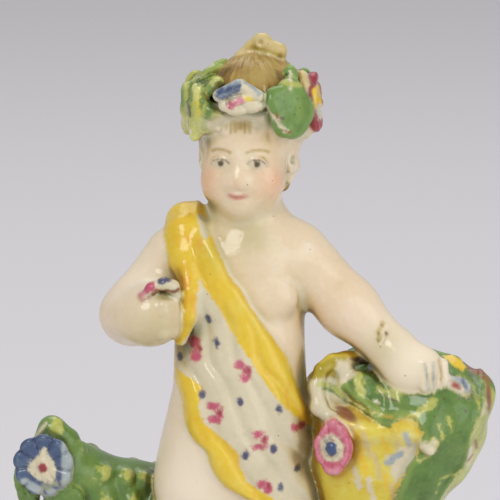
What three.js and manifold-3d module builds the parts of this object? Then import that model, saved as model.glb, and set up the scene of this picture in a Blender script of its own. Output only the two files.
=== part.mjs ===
// A pearlware putto of about 1790. A boy with a wreath of leaves and flowers and a spotted drape rests his
// left hand on a cornucopia, whose tail sweeps up behind his legs. He stands on a mound on a low plinth, all
// one fired piece.
// Millimetres, +Z up. The boy faces -Y, and the origin is the centre of the plinth's underside.
//
// The modelled clay is a signed distance field: each form below is a function of x, y, z that is negative
// inside, and soft unions join the forms as slip joins clay. The field is cut into triangles and simplified,
// and the result is joined to the plinth.
import * as THREE from 'three';
import { mergeVertices } from 'three/addons/utils/BufferGeometryUtils.js';
import Module from 'manifold-3d';

// Driving dimensions
const PLINTH = { width: 76, depth: 62, height: 8, corner: 2.5, bevel: 0.7 };
const MOUND_TOP = 17; // the ground under the boy's soles
const LEG = 56; // sole to hip joint
const TORSO = 50; // hip joint to shoulder joint
const NECK = 20.5; // shoulder joint to the middle of the head
const HEAD_TURN = (10 * Math.PI) / 180; // towards the boy's right
const HORN_MOUTH = { width: 36, depth: 27, tilt: (24 * Math.PI) / 180 };
const CLOTH = 1.5; // how far the drape stands off the skin
const LEAF = 1.25; // half the thickness of a leaf

// Heights that follow from them
const HIP = MOUND_TOP + LEG;
const SHOULDER = HIP + TORSO;
const HEAD = SHOULDER + NECK;

// How finely the field is cut, and how many triangles are kept
const CELL = 0.9;
const SCULPTURE_BOX = { low: [-53, -34, 5], high: [56, 34, 172] };
const KEPT_TRIANGLES = 9000;

const { min, max, abs, sqrt, sin, cos, tan, atan2, PI } = Math;
const radians = THREE.MathUtils.degToRad;
const steps = (low, high) => [...Array(high - low + 1).keys()].map((i) => i + low);

// Field helpers
const clamp = (v, low, high) => min(max(v, low), high);
const mix = (a, b, t) => a + (b - a) * t;

function smoothMin(a, b, k) {
  const h = max(k - abs(a - b), 0) / k;
  return min(a, b) - h * h * k * 0.25;
}

const smoothMax = (a, b, k) => -smoothMin(-a, -b, k);

function smoothStep(low, high, v) {
  const t = clamp((v - low) / (high - low), 0, 1);
  return t * t * (3 - 2 * t);
}

// Joins forms with a fillet of about k.
function join(k, ...forms) {
  return (x, y, z) => {
    let d = forms[0](x, y, z);
    for (let i = 1; i < forms.length; i++) d = smoothMin(d, forms[i](x, y, z), k);
    return d;
  };
}

// Hollows one form with another.
const carve = (k, form, tool) => (x, y, z) => smoothMax(form(x, y, z), -tool(x, y, z), k);

function ball([cx, cy, cz], r) {
  return (x, y, z) => sqrt((x - cx) ** 2 + (y - cy) ** 2 + (z - cz) ** 2) - r;
}

function ellipsoid([cx, cy, cz], [rx, ry, rz]) {
  return (x, y, z) => {
    const u = (x - cx) / rx;
    const v = (y - cy) / ry;
    const w = (z - cz) / rz;
    const scaled = sqrt(u * u + v * v + w * w);
    if (scaled < 1e-3) return -min(rx, ry, rz);
    return scaled * (scaled - 1) / sqrt((u / rx) ** 2 + (v / ry) ** 2 + (w / rz) ** 2);
  };
}

// A round bar from a to b whose radius goes from ra to rb.
function limb([ax, ay, az], [bx, by, bz], ra, rb = ra) {
  const dx = bx - ax;
  const dy = by - ay;
  const dz = bz - az;
  const square = dx * dx + dy * dy + dz * dz;
  return (x, y, z) => {
    const t = clamp(((x - ax) * dx + (y - ay) * dy + (z - az) * dz) / square, 0, 1);
    return sqrt((x - ax - dx * t) ** 2 + (y - ay - dy * t) ** 2 + (z - az - dz * t) ** 2) - mix(ra, rb, t);
  };
}

// Limbs end to end. A stop is [x, y, z, radius].
function chain(k, stops) {
  const bars = stops.slice(1).map((stop, i) => limb(stops[i], stop, stops[i][3], stop[3]));
  return join(k, ...bars);
}

// Away from a form's ball of reach, the distance to that ball stands for the form, which saves time.
function within([cx, cy, cz], reach, form) {
  const margin = 6;
  return (x, y, z) => {
    const away = sqrt((x - cx) ** 2 + (y - cy) ** 2 + (z - cz) ** 2) - reach;
    return away > margin ? away : form(x, y, z);
  };
}

// A smooth curve through pairs of [where, value], listed from low to high, level beyond both ends.
function through(pairs) {
  const last = pairs.length - 1;
  const slopes = pairs.map((_, i) => {
    const [v0, f0] = pairs[max(i - 1, 0)];
    const [v1, f1] = pairs[min(i + 1, last)];
    return (f1 - f0) / (v1 - v0);
  });
  return (v) => {
    let i = 0;
    while (i < last - 1 && v > pairs[i + 1][0]) i++;
    const [v0, f0] = pairs[i];
    const [v1, f1] = pairs[i + 1];
    const width = v1 - v0;
    const t = clamp((v - v0) / width, 0, 1);
    const s = 1 - t;
    return s * s * (1 + 2 * t) * f0 + s * s * t * width * slopes[i]
      + t * t * (3 - 2 * t) * f1 - t * t * s * width * slopes[i + 1];
  };
}

// Axes of a small applied piece: n looks out of it, u runs from its base to its tip, and v is across.
function axes(out, up) {
  const n = new THREE.Vector3(...out).normalize();
  const u = new THREE.Vector3(...up).addScaledVector(n, -n.dot(new THREE.Vector3(...up))).normalize();
  const v = new THREE.Vector3().crossVectors(u, n);
  return [u, v, n];
}

// A rim of rounded lobes that meet in sharp notches, as a share of the full radius. point draws in its
// corners, so that its ends are pointed, or pushes them out where it is negative.
function scallop(angle, lobes, notch, point) {
  return 1 - 2 * notch * (1 - abs(cos(lobes * angle / 2))) - point * sin(2 * angle) ** 2;
}

// A plate pressed on the clay. Its outline is an oval with lobes. arch bends its length back to the clay and
// dish its whole rim, fold raises the midrib, and puff fills out its middle.
function sprig(shape) {
  const { at, out, up, length, width, lobes = 5, notch = 0.1, point = 0 } = shape;
  const { arch = 0, dish = 0, fold = 0, puff = 0 } = shape;
  const [cx, cy, cz] = at;
  const [u, v, n] = axes(out, up);
  const half = length / 2;
  const side = width / 2;
  const rounding = LEAF * 0.8;
  return within(at, max(half, side) + abs(arch) + abs(dish) + puff + LEAF, (x, y, z) => {
    const px = x - cx;
    const py = y - cy;
    const pz = z - cz;
    const a = (px * u.x + py * u.y + pz * u.z) / half;
    const b = (px * v.x + py * v.y + pz * v.z) / side;
    const c = px * n.x + py * n.y + pz * n.z;
    const spread = sqrt(a * a + b * b);
    const height = c + arch * a * a + dish * spread * spread + fold * abs(b);
    const rim = (spread - scallop(atan2(b, a), lobes, notch, point)) * min(half, side) + rounding;
    const face = abs(height) - LEAF - puff * (1 - min(spread, 1) ** 2) + rounding;
    return min(max(rim, face), 0) + sqrt(max(rim, 0) ** 2 + max(face, 0) ** 2) - rounding;
  });
}

// A round of petals, dished by cup, with a boss in its middle.
function blossom(shape) {
  const { at, out, up = [0, 0, 1], size, squeeze = 1, boss = 0.22 } = shape;
  const { petals = 5, cup = 0.7, notch = 0.07, point = 0 } = shape;
  const n = axes(out, up)[2];
  const heart = new THREE.Vector3(...at).addScaledVector(n, LEAF * 0.7).toArray();
  const ring = { at, out, up, length: size, width: size * squeeze, lobes: petals, notch, point, dish: -cup };
  return join(0.5, sprig(ring), ball(heart, size * boss * 0.6));
}

// The same form on both sides of the middle, s being -1 and 1.
function pairOf(make) {
  const right = make(-1);
  const left = make(1);
  return (x, y, z) => min(right(x, y, z), left(x, y, z));
}

const moved = ([x, y, z], dx, dy, dz) => [x + dx, y + dy, z + dz];

// The boy's landmarks. His right side is at -X.
const RIGHT_SHOULDER = [-14.3, 1, SHOULDER - 1.5];
const LEFT_SHOULDER = [11, 1, SHOULDER - 1];
const RIGHT_ELBOW = [-24, 0.5, SHOULDER - 13.6];
const LEFT_ELBOW = [21.6, -1, SHOULDER - 11.8];
const RIGHT_FIST = [-17.2, -12, SHOULDER - 11.6];
const LEFT_WRIST = [29.8, -4, SHOULDER - 19.4];
const RIGHT_HIP = [-9.5, 0.5, HIP - 1];
const LEFT_HIP = [5, 0, HIP - 2];
const RIGHT_KNEE = [-10, -2, HIP - 28];
const LEFT_KNEE = [8.5, -5, HIP - 27];
const RIGHT_ANKLE = [-10.5, 1.5, MOUND_TOP + 5];
const LEFT_ANKLE = [8.5, 0.5, MOUND_TOP + 5];

function torso() {
  const chest = ellipsoid([-0.6, 0.5, SHOULDER - 11], [12.7, 9.8, 14]);
  const belly = ellipsoid([-1.7, -1.4, HIP + 18], [13.7, 11, 16]);
  const flank = ellipsoid([3.7, 0.5, HIP + 26], [7.4, 8, 13]);
  const pelvis = ellipsoid([-2.9, 0.5, HIP + 5], [15.4, 11.8, 14]);
  const yoke = limb([-11.5, 1, SHOULDER - 1.5], [9, 1, SHOULDER - 1], 6.2);
  const neck = limb([0.3, 1.5, SHOULDER], [0.3, 2, HEAD - 8], 8.2, 6.8);
  const breasts = pairOf((s) => ellipsoid([5.6 * s - 0.3, -6.6, SHOULDER - 9], [5.2, 3, 3.8]));
  const trunk = join(7, chest, belly, join(4, pelvis, flank), join(9, yoke, neck));
  const navel = ball([-0.6, -13, HIP + 15], 1);
  return carve(1.2, join(2.5, trunk, breasts), navel);
}

// A leg down to the ankle: thigh, then calf.
function leg(hip, knee, ankle, thigh) {
  const calf = [mix(knee[0], ankle[0], 0.4), mix(knee[1], ankle[1], 0.4) + 2, mix(knee[2], ankle[2], 0.4)];
  const kneecap = ball([knee[0], knee[1] - 2, knee[2] + 0.5], 4.4);
  return join(2, chain(0.8, [[...hip, thigh], [...knee, 6.2], [...calf, 6], [...ankle, 4.1]]), kneecap);
}

// A foot flat on the mound, with its toes turned by way.
function foot([x, y, z], way) {
  const sole = z - 2.2;
  const toeX = x + 12 * sin(way);
  const toeY = y - 12 * cos(way);
  const step = [cos(way), sin(way)];
  const toes = steps(-2, 2).map((i) => {
    const size = 1.35 - 0.1 * abs(i);
    return ball([toeX + 1.45 * i * step[0], toeY + 1.45 * i * step[1] + 0.4 * abs(i), sole - 1.1], size);
  });
  const instep = limb([x, y, sole], [mix(x, toeX, 0.82), mix(y, toeY, 0.82), sole - 0.9], 3.8, 2.4);
  const forefoot = ellipsoid([mix(x, toeX, 0.75), mix(y, toeY, 0.75), sole - 1.1], [3.9, 3.4, 2]);
  const heel = ball([x, y + 1.6, sole - 0.2], 3.4);
  return join(1.2, join(2, instep, forefoot, heel), ...toes);
}

function legs() {
  const right = join(3, leg(RIGHT_HIP, RIGHT_KNEE, RIGHT_ANKLE, 9.4), foot(RIGHT_ANKLE, -0.25));
  const left = join(3, leg(LEFT_HIP, LEFT_KNEE, LEFT_ANKLE, 8.8), foot(LEFT_ANKLE, 0.5));
  return join(2.5, right, left);
}

// The right arm is bent, and its closed hand at the breast holds the stump of a lost posy.
function rightArm() {
  const upper = limb(RIGHT_SHOULDER, RIGHT_ELBOW, 6.7, 5.7);
  const fore = ellipsoid([-21.4, -5, SHOULDER - 12.6], [7.6, 8.6, 5.7]);
  const fist = ellipsoid(moved(RIGHT_FIST, -1.5, 0.8, -0.1), [5.1, 4.2, 5.3]);
  const fingers = steps(0, 3).map((i) => (
    limb(moved(RIGHT_FIST, 0.6, -2.4, 2.5 - 2 * i), moved(RIGHT_FIST, 2.3, -0.6, 2.7 - 2 * i), 1.2)));
  return join(1.2, join(6, upper, fore, fist), ...fingers);
}

// What is left of the posy: a low broken ridge that runs over the top of the hand.
const POSY_RIDGE = [
  [-3.7, -1.2, 4, 1], [-2, -1.8, 6, 1.1], [0.6, -1.8, 7, 1.2], [2.3, -1, 6.2, 1.3], [3, -0.4, 4.4, 1.2],
];

function posyStump() {
  const ridge = chain(1, POSY_RIDGE.map(([x, y, z, r]) => [...moved(RIGHT_FIST, x, y, z), r]));
  const below = POSY_RIDGE.map(([x, y, z]) => [...moved(RIGHT_FIST, x + 0.4, y - 1.9, z - 1.6), 0.6]);
  const breakLine = chain(0.3, below);
  return within(RIGHT_FIST, 9, carve(0.6, ridge, breakLine));
}

// The left arm is held out, and its hand lies on the cornucopia with the fingers curled over the front.
function leftArm() {
  const upper = limb(LEFT_SHOULDER, LEFT_ELBOW, 6.8, 5.9);
  const fore = limb(LEFT_ELBOW, LEFT_WRIST, 5.9, 4.7);
  const back = limb(moved(LEFT_WRIST, 2.2, -1, -2.2), moved(LEFT_WRIST, 7, -2.2, -4.2), 4.9, 4.3);
  const palm = ellipsoid(moved(LEFT_WRIST, 4.8, -3.2, -5), [5, 3.3, 4.7]);
  const fingers = steps(0, 3).map((i) => {
    const knuckle = moved(LEFT_WRIST, 7.2 + 1.35 * i, -5.9 + 0.95 * i, -2.6 - 0.2 * i);
    return limb(knuckle, moved(knuckle, 0.3, -0.4, -5 + 0.45 * i), 1.15, 1.05);
  });
  return join(0.7, join(3, upper, fore, back, palm), join(0.15, ...fingers));
}

// The head, in its own coordinates: the face looks along -Y and the middle of the head is the origin.
const EYE = { x: 3.8, y: -7.8, z: -1.4 };
const MOUTH_HEIGHT = -8;

function faceForm() {
  const skull = ellipsoid([0, 2.5, 3.6], [9.5, 11.6, 11.4]);
  const face = ellipsoid([0, -2.2, -3.8], [7.9, 8, 9.3]);
  const cheeks = pairOf((s) => ball([4.1 * s, -5.2, -5.4], 4.2));
  const jowls = ellipsoid([0, -2.8, -9], [5.2, 5.6, 3.8]);
  const chin = ball([0, -7.3, -10.7], 2.2);
  const nose = join(0.8, limb([0, -8.2, -1.2], [0, -9.9, -4], 0.8, 1), ball([0, -10.1, -4.5], 1.3),
    pairOf((s) => ball([1.25 * s, -10, -5], 0.8)));
  const lips = join(0.4, ellipsoid([0, -9.6, MOUTH_HEIGHT + 0.5], [1.9, 0.9, 0.55]),
    ellipsoid([0, -9.4, MOUTH_HEIGHT - 0.6], [1.5, 0.9, 0.6]));
  const sockets = pairOf((s) => ellipsoid([EYE.x * s, -11, EYE.z + 0.2], [2.4, 1.5, 1.4]));
  const eyes = pairOf((s) => ball([EYE.x * s, EYE.y, EYE.z], 1.9));
  const ears = pairOf((s) => {
    const shell = ellipsoid([9 * s, 0.6, -1.4], [1.3, 2.1, 2.8]);
    return carve(0.6, shell, ball([10.2 * s, -0.4, -1.2], 1));
  });
  const flesh = carve(1.8, join(3.2, skull, face, cheeks, jowls, chin), sockets);
  return join(0.7, join(2.4, flesh, nose), lips, eyes, ears);
}

// A full crown, locks at the ears and nape, and a short fringe.
function hairForm() {
  const crown = ellipsoid([1.4, 3.4, 8.6], [11.6, 12, 12]);
  const nape = ellipsoid([0, 6, -1], [9.6, 8.2, 10.5]);
  const locks = pairOf((s) => (
    chain(1, [[9 * s, 3, 2, 1.6], [9.2 * s, 3.6, -3, 1.2], [8.2 * s, 3.6, -6, 0.8]])));
  const curls = steps(-2, 2).map((i) => (
    limb([3.8 * i, 12.6 - i * i, 3], [3 * i, 11.6 - 0.8 * i * i, -7.5], 2.4, 1.7)));
  const fringe = steps(-3, 3).map((i) => (
    limb([1.1 * i - 0.6, -7.9, 8.6], [1.15 * i - 0.6, -8.6, 5.6 + 0.4 * abs(i % 2)], 0.7, 0.3)));
  return join(0.8, join(2.5, crown, nape), locks, ...curls, ...fringe);
}

function head() {
  const form = join(1.6, faceForm(), hairForm());
  const [across, along] = [cos(HEAD_TURN), sin(HEAD_TURN)];
  const [axisX, axisY] = [0.3, 1.5];
  return within([axisX, axisY, HEAD + 2], 19, (x, y, z) => {
    const px = x - axisX;
    const py = y - axisY;
    return form(px * across - py * along, px * along + py * across, z - HEAD);
  });
}

// The wreath: a vine round the head, with leaves and blossoms set by their angle from the front,
// where 90 degrees is the boy's left.
const WREATH = { centre: [0.9, 2.6, HEAD + 9.6], across: 12.2, deep: 12.6, tube: 2.2 };

// tip is the way that a leaf points, in degrees from straight up to the boy's left. lean tips its face up.
function wreathSprig({ angle, rise = 0, standOff = 0.6, tip = 0, lean = 0, ...form }) {
  const { centre: [x, y, z], across, deep } = WREATH;
  const a = radians(angle);
  const t = radians(tip);
  return {
    at: [x + (across + standOff) * sin(a), y - (deep + standOff) * cos(a), z + rise],
    out: [sin(a), -cos(a), tan(radians(lean))],
    up: [sin(t) * cos(a), sin(t) * sin(a), cos(t)],
    ...form,
  };
}

const FRONT_LEAVES = [
  {
    angle: 39, rise: 0.6, standOff: 1.2, tip: 158, lean: 6, length: 12.6, width: 11, notch: 0.06, point: -0.1,
    arch: 0.8, puff: 0.4,
  },
  { angle: -57, rise: -0.2, standOff: 1.1, tip: 186, length: 12.6, width: 5.8, notch: 0.06, fold: 1.4 },
  { angle: -79, rise: 0.4, standOff: 1.1, tip: 172, length: 11, width: 5.8, notch: 0.08, fold: 1.4 },
  { angle: -97, rise: -0.6, standOff: 0.9, tip: 184, length: 11.4, width: 6.8, notch: 0.08, fold: 1.4 },
  { angle: -118, rise: 0, standOff: 1, tip: 172, length: 12, width: 7, notch: 0.06, fold: 1.2 },
  {
    angle: -58, rise: 5.4, standOff: -1.6, tip: -98, lean: 50, length: 9.4, width: 6.2, notch: 0.08, fold: 0.8,
  },
  { angle: -88, rise: 4.4, standOff: -1, tip: -60, lean: 40, length: 8, width: 6.6, notch: 0.08, fold: 0.8 },
  { angle: 50, rise: 7.6, standOff: -1, tip: 10, lean: 35, length: 4.2, width: 3, fold: 0.4, puff: 0.2 },
  { angle: 108, rise: 3.6, standOff: 0.4, tip: -20, lean: 20, length: 9, width: 7, fold: 0.5, puff: 0.3 },
];

// The back of the wreath repeats plainer leaves, tips up and down by turns.
function backLeaves() {
  return [126, 142, 160, 200, 218, 236].map((angle, i) => {
    const [rise, tip] = i % 2 ? [1.6, 20] : [-0.6, 170];
    return { angle, rise, standOff: 1, tip, length: 11, width: 8.5, notch: 0.06, arch: 0.6, puff: 0.6 };
  });
}

// The vine itself thins out over the brow, where the front flower covers it.
function wreathLeaves() {
  const { centre: [cx, cy, cz], across, deep, tube } = WREATH;
  const vine = (x, y, z) => {
    const a = atan2((x - cx) / across, (cy - y) / deep);
    const out = sqrt((x - cx) ** 2 + (y - cy) ** 2) - sqrt((across * sin(a)) ** 2 + (deep * cos(a)) ** 2);
    const thickness = tube * smoothStep(0.3, 0.75, abs(a + 0.1)) + 0.2 * sin(17 * a);
    return sqrt(out * out + (z - cz - 0.6 * sin(5 * a)) ** 2) - thickness;
  };
  const leaves = [...FRONT_LEAVES, ...backLeaves()].map((leaf) => sprig(wreathSprig(leaf)));
  const narrow = {
    at: [-6.6, -2.6, HEAD + 18], out: [-0.4, -0.7, 0.6], up: [0.8, 0, 0.6], length: 7, width: 2.2, fold: 0.3,
  };
  return join(0.6, vine, ...leaves, sprig(narrow));
}

// A band of plain clay under the wreath, which shows below its leaves at the temples.
function browBand() {
  return chain(1.5, [
    [-11, 0, HEAD + 6.2, 2], [-8, -3.8, HEAD + 7, 2.1], [-5.6, -6, HEAD + 9, 1.8],
    [-1, -7.8, HEAD + 10.2, 1.4], [3.8, -7.4, HEAD + 9, 1.5], [8.2, -4.4, HEAD + 6.4, 2.1],
    [11.8, -1, HEAD + 5.4, 2.4],
  ]);
}

// The damaged flower over the brow. Two long petals meet above like a roof over a boss and short petals.
function frontFlower() {
  const z = HEAD + 12.9;
  const roof = chain(0.6, [[-5.2, -9.8, z + 0.4, 1.4], [-1.2, -11.2, z + 2.4, 1.6]]);
  const gable = chain(0.6, [[-0.8, -11, z + 2.4, 1.4], [2.8, -10.6, z + 0.3, 1.3]]);
  const heart = ball([-2, -11.2, z - 0.8], 1.2);
  const tongue = limb([-1.2, -11.3, z - 0.4], [1.4, -11.2, z + 0.3], 1);
  const petals = [
    ellipsoid([1.2, -10.6, z - 1.7], [2.3, 1.4, 1.5]), ellipsoid([-1.8, -10.8, z - 2.5], [2.2, 1.3, 1.2]),
    ellipsoid([-4, -9.8, z - 1.6], [1.5, 1.4, 1.4]), ellipsoid([3.2, -9.8, z - 1.6], [1.1, 1.3, 1.1]),
  ];
  const backing = ellipsoid([-1.2, -8.8, z], [4.4, 2.2, 3]);
  return within([-1.2, -10, z], 9, join(0.45, roof, gable, heart, tongue, backing, ...petals));
}

function wreath(carrier) {
  const side = blossom(wreathSprig({
    angle: 84, rise: 0.8, standOff: 0.8, lean: 4, size: 13, squeeze: 0.95, boss: 0.2,
  }));
  const cushion = ellipsoid([11.8, -1.4, HEAD + 11.2], [2.6, 3.4, 6.4]);
  const back = blossom(wreathSprig({ angle: 180, rise: 1.5, standOff: 1.2, size: 11 }));
  const leaves = within(WREATH.centre, 21, wreathLeaves());
  const dressed = join(0.9, join(2, carrier, browBand()), leaves);
  return join(0.6, dressed, frontFlower(), join(1, side, cushion), back);
}

// The knot of the wreath's ribbon stands on the crown: a slanting tail, a round knot and one square loop.
function topKnot() {
  const top = HEAD + 22.6;
  const tail = chain(1, [[-0.6, 4, top - 2.6, 1.2], [1.4, 4, top - 0.8, 1.3], [3, 3.8, top + 0.4, 1.6]]);
  const knot = carve(0.5, ellipsoid([3.6, 3.4, top + 0.2], [2.1, 2, 2.1]), ball([3, 1.3, top + 0.4], 0.75));
  const loop = limb([4.8, 3.6, top - 0.8], [6.9, 3.4, top - 1.6], 1.7, 1.9);
  const groove = limb([1.6, 1.6, top - 2.4], [8.2, 1.2, top - 3.4], 0.5);
  const stem = limb([3.4, 4.5, top - 1], [3.6, 4.5, top - 4], 2.2, 3);
  return within([2.5, 4, top - 2], 9, carve(0.6, join(0.6, tail, knot, loop, stem), groove));
}

// The drape covers the body between two edges, each a smooth run of x against z, alike in front and behind.
const OUTER_EDGE = through([
  [58, 23], [64, 14], [69, 6], [72.9, 0.4], [75.6, -3.7], [78.9, -6.1], [82.9, -7.6], [85, -9.9],
  [88.6, -11.7], [93.4, -12.6], [97, -14.2], [100.9, -14.9], [105.1, -15.2], [109.3, -14], [112.6, -13.1],
  [116.8, -13.1], [121.6, -15.1], [127.5, -15.4], [130.5, -16.3],
]);
const INNER_EDGE = through([
  [80, 24], [84, 16], [88.3, 13.5], [90.4, 13.2], [94, 11.1], [97.6, 9.6], [101.8, 8.1], [105.7, 5.5],
  [109.6, 2.8], [112.9, 0.5], [116.2, -1.3], [119.2, -3.7], [122.8, -5.4], [126.9, -7.5], [130.8, -9.5],
]);

// How far inside the drape's edges a point is, negative outside them.
const drapeInset = (x, z) => min(x - OUTER_EDGE(z), INNER_EDGE(z) - x) * 0.8;

// The folds fall from the shoulder and bend to the boy's left. The deepest runs along this line of x against
// z, and the others keep a constant share of their spacing from it.
const FOLD_LINE = through([
  [58, 22], [66, 16.5], [72.3, 11.1], [77.1, 7], [82.6, 3.4], [86.2, 0.4], [92.2, -1.9], [97.6, -4.3],
  [101.2, -6.9], [109.9, -7.8], [122, -11.5],
]);

function foldHeight(x, z) {
  const down = SHOULDER + 3 - z;
  const spacing = 3.3 + 0.075 * max(down, 0);
  const valley = abs(sin(PI * (x - FOLD_LINE(z)) / spacing));
  const depth = 0.7 * smoothStep(8, 24, down);
  const hem = 0.4 * (1 - smoothStep(2.5, 5, drapeInset(x, z)));
  return hem - depth * (1 - smoothStep(0, 1, valley));
}

function drape(body) {
  const cloth = (x, y, z) => {
    const skin = body(x, y, z);
    if (skin > 8) return skin - CLOTH;
    return smoothMax(skin - CLOTH - foldHeight(x, z), -drapeInset(x, z), 1.2);
  };
  const top = SHOULDER;
  const bunch = chain(2, [
    [-13.2, -6.2, top - 1.5, 2], [-12.8, -2.5, top + 4.6, 3.2], [-12.4, 2, top + 6, 3.6],
    [-12.6, 7, top + 3, 2.8],
  ]);
  const lining = chain(1, [
    [-9.6, 0.5, top + 7.4, 1.1], [-9.4, -3.6, top + 5.4, 1], [-9, -6.2, top + 2.6, 0.8],
  ]);
  // The hem's roll beside the right hand
  const roll = chain(1, [
    [-12.2, -7.6, top - 2, 2], [-11.4, -10, top - 7, 1.9], [-11.6, -11, top - 12, 1.7],
    [-13.2, -9.6, top - 17, 1.3],
  ]);
  return join(2, cloth, bunch, lining, roll);
}

// The cornucopia's spine, from under its mouth to the end of its tail: [x, y, z, radius].
const HORN_SPINE = [
  [31.7, 2.5, 86, 12], [30.2, 4, 75, 12.3], [27, 6.5, 66, 11.4], [20.5, 9.5, 60, 10], [10, 11.5, 58, 9],
  [-2, 12.5, 60.5, 8.4], [-13, 11.5, 66.4, 8], [-23, 9, 68.6, 7.6], [-31, 6, 71, 7.6], [-38.4, 1.5, 76.8, 7],
];
const MOUTH = [31.8, 0.5, 92.8];

// Rounded bosses stand along the tail in rows round the horn, each given by its angle up from the front in
// degrees. Every other row is set on by half the step between bosses, and the top is left smooth.
const BOSSES = {
  rows: [45, 5, -35, -75, 215, 175, 135], first: -34.6, step: 5.4, count: 11, radius: 2.4, sunk: 0.9,
};

function bossCentres(spine) {
  const middles = spine.map(([x, y, z]) => new THREE.Vector3(x, y, z));
  const curve = new THREE.CatmullRomCurve3(middles, false, 'catmullrom');
  const places = curve.getSpacedPoints(120);
  const widths = spine.map(([x, , , r]) => [x, r]).reverse();
  const radiusAt = (x) => {
    const next = widths.findIndex(([at]) => at > x);
    const [[x0, r0], [x1, r1]] = [widths[next - 1], widths[next]];
    return mix(r0, r1, (x - x0) / (x1 - x0));
  };
  return BOSSES.rows.flatMap((degrees, row) => steps(0, BOSSES.count - 1).map((i) => {
    const x = BOSSES.first + BOSSES.step * (i + (row % 2) / 2);
    const next = places.findIndex((place) => place.x < x);
    const along = places[next].clone().sub(places[next - 1]).normalize();
    const share = (x - places[next].x) / (places[next - 1].x - places[next].x);
    const front = new THREE.Vector3(0, -1, 0).projectOnPlane(along).normalize();
    const top = along.clone().cross(front);
    const out = radiusAt(x) - BOSSES.sunk;
    return places[next].clone().lerp(places[next - 1], share)
      .addScaledVector(front, out * cos(radians(degrees)))
      .addScaledVector(top, out * sin(radians(degrees)));
  }));
}

function gadrooned(spine) {
  const body = chain(1.5, spine);
  const centres = bossCentres(spine);
  return (x, y, z) => {
    const d = body(x, y, z);
    if (abs(d) > 4) return d;
    let nearest = Infinity;
    for (const c of centres) nearest = min(nearest, (x - c.x) ** 2 + (y - c.y) ** 2 + (z - c.z) ** 2);
    return smoothMin(d, sqrt(nearest) - BOSSES.radius, 0.9);
  };
}

// The distance in x and z to a polygon, negative inside it.
function area(corners) {
  return (x, z) => {
    let nearest = Infinity;
    let inside = false;
    corners.forEach(([ax, az], i) => {
      const [bx, bz] = corners[(i + 1) % corners.length];
      const [ex, ez] = [bx - ax, bz - az];
      const t = clamp(((x - ax) * ex + (z - az) * ez) / (ex * ex + ez * ez), 0, 1);
      nearest = min(nearest, (x - ax - t * ex) ** 2 + (z - az - t * ez) ** 2);
      if (az > z !== bz > z && x < ax + (z - az) * ex / ez) inside = !inside;
    });
    return inside ? -sqrt(nearest) : sqrt(nearest);
  };
}

// What the leaf over the horn covers, and the seam near its right edge, seen from the front
const HORN_LEAF = area([
  [20, 93], [22.9, 91.5], [27, 89.1], [30, 88.2], [32.6, 90], [35, 89.7], [36.8, 86.7], [35.9, 82.2],
  [33.6, 79.2], [31.5, 73.1], [27, 62], [60, 50], [60, 120], [20, 120],
]);
const HORN_SEAM = through([
  [64, 39], [71.6, 41], [75, 43], [78, 45.4], [83, 46.4], [88, 47.6], [92, 49.2], [97, 49.6],
]);

function hornBody() {
  const [mx, my, mz] = MOUTH;
  const { width, depth, tilt } = HORN_MOUTH;
  const bowl = ellipsoid([mx + 0.4, my + 1.6, mz - 6.8], [width / 2, depth / 2, 16.6]);
  const swell = ellipsoid([mx + 7.2, my - 2, mz - 4], [10.5, 10, 9]);
  const cheek = ellipsoid([mx - 10.4, my - 2.6, mz - 13], [7.6, 8, 12]);
  const above = (y, z) => (z - mz) * cos(tilt) - (y - my) * sin(tilt);
  // Across the mouth, leaves heave the surface up and down inside a ruffled rim.
  const heave = (x, y) => 0.9 * sin(0.42 * x + 0.35 * y) * cos(0.5 * y - 0.2 * x) - 0.6;
  const cup = (x, y, z) => smoothMax(bowl(x, y, z), above(y, z) - heave(x, y), 1.6);
  const rim = (x, y, z) => {
    const a = atan2((y - my) / depth, (x - mx) / width);
    const spread = sqrt(((x - mx) / width) ** 2 + ((y - my) / (depth * cos(tilt))) ** 2) * 2;
    const out = spread - 0.96 * (1 + 0.025 * sin(9 * a + 1));
    return sqrt((out * depth * 0.5) ** 2 + (above(y, z) - 0.5 * sin(7 * a)) ** 2) - 1.5;
  };
  return join(3, cup, rim, swell, join(6, cheek, gadrooned(HORN_SPINE)));
}

// The horn, with a leaf in low relief that wraps its side away from the boy and ends in a raised seam.
function horn() {
  const body = hornBody();
  return (x, y, z) => {
    const bare = body(x, y, z);
    if (abs(bare) > 4) return bare;
    const waves = 0.3 * sin(0.5 * x + 0.35 * z) * sin(0.3 * z - 0.4 * x + 1) * smoothStep(60, 72, z);
    const seam = 0.4 * Math.exp(-(((x - HORN_SEAM(z)) * 0.8 / 0.6) ** 2));
    const leaf = smoothMax(bare - 0.6 - seam - waves, HORN_LEAF(x, z), 1);
    return smoothMin(bare - waves, leaf, 0.5);
  };
}

// The scrolled lip at the boy's side of the horn.
function hornLip() {
  const roll = chain(2, [
    [25, -2, 100.6, 1.3], [21, -3.8, 100.8, 1.3], [18.2, -5.2, 100.5, 1.3], [16, -6.3, 98.8, 1.3],
    [14.7, -7, 95.6, 1.4], [15.2, -8.2, 91.6, 1.5], [18.2, -9.6, 89, 1.3], [22.6, -10.6, 88, 0.9],
  ]);
  const curl = ellipsoid([19, -4, 94], [4.6, 3.4, 5.4]);
  const fold = ellipsoid([20.6, -5.2, 98.2], [1.9, 2, 2.8]);
  const groove = limb([18.2, -7.6, 97.6], [18.6, -9, 92.4], 1.1);
  return within([19, -6, 95], 14, carve(1, join(1.6, roll, curl, fold), groove));
}

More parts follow.
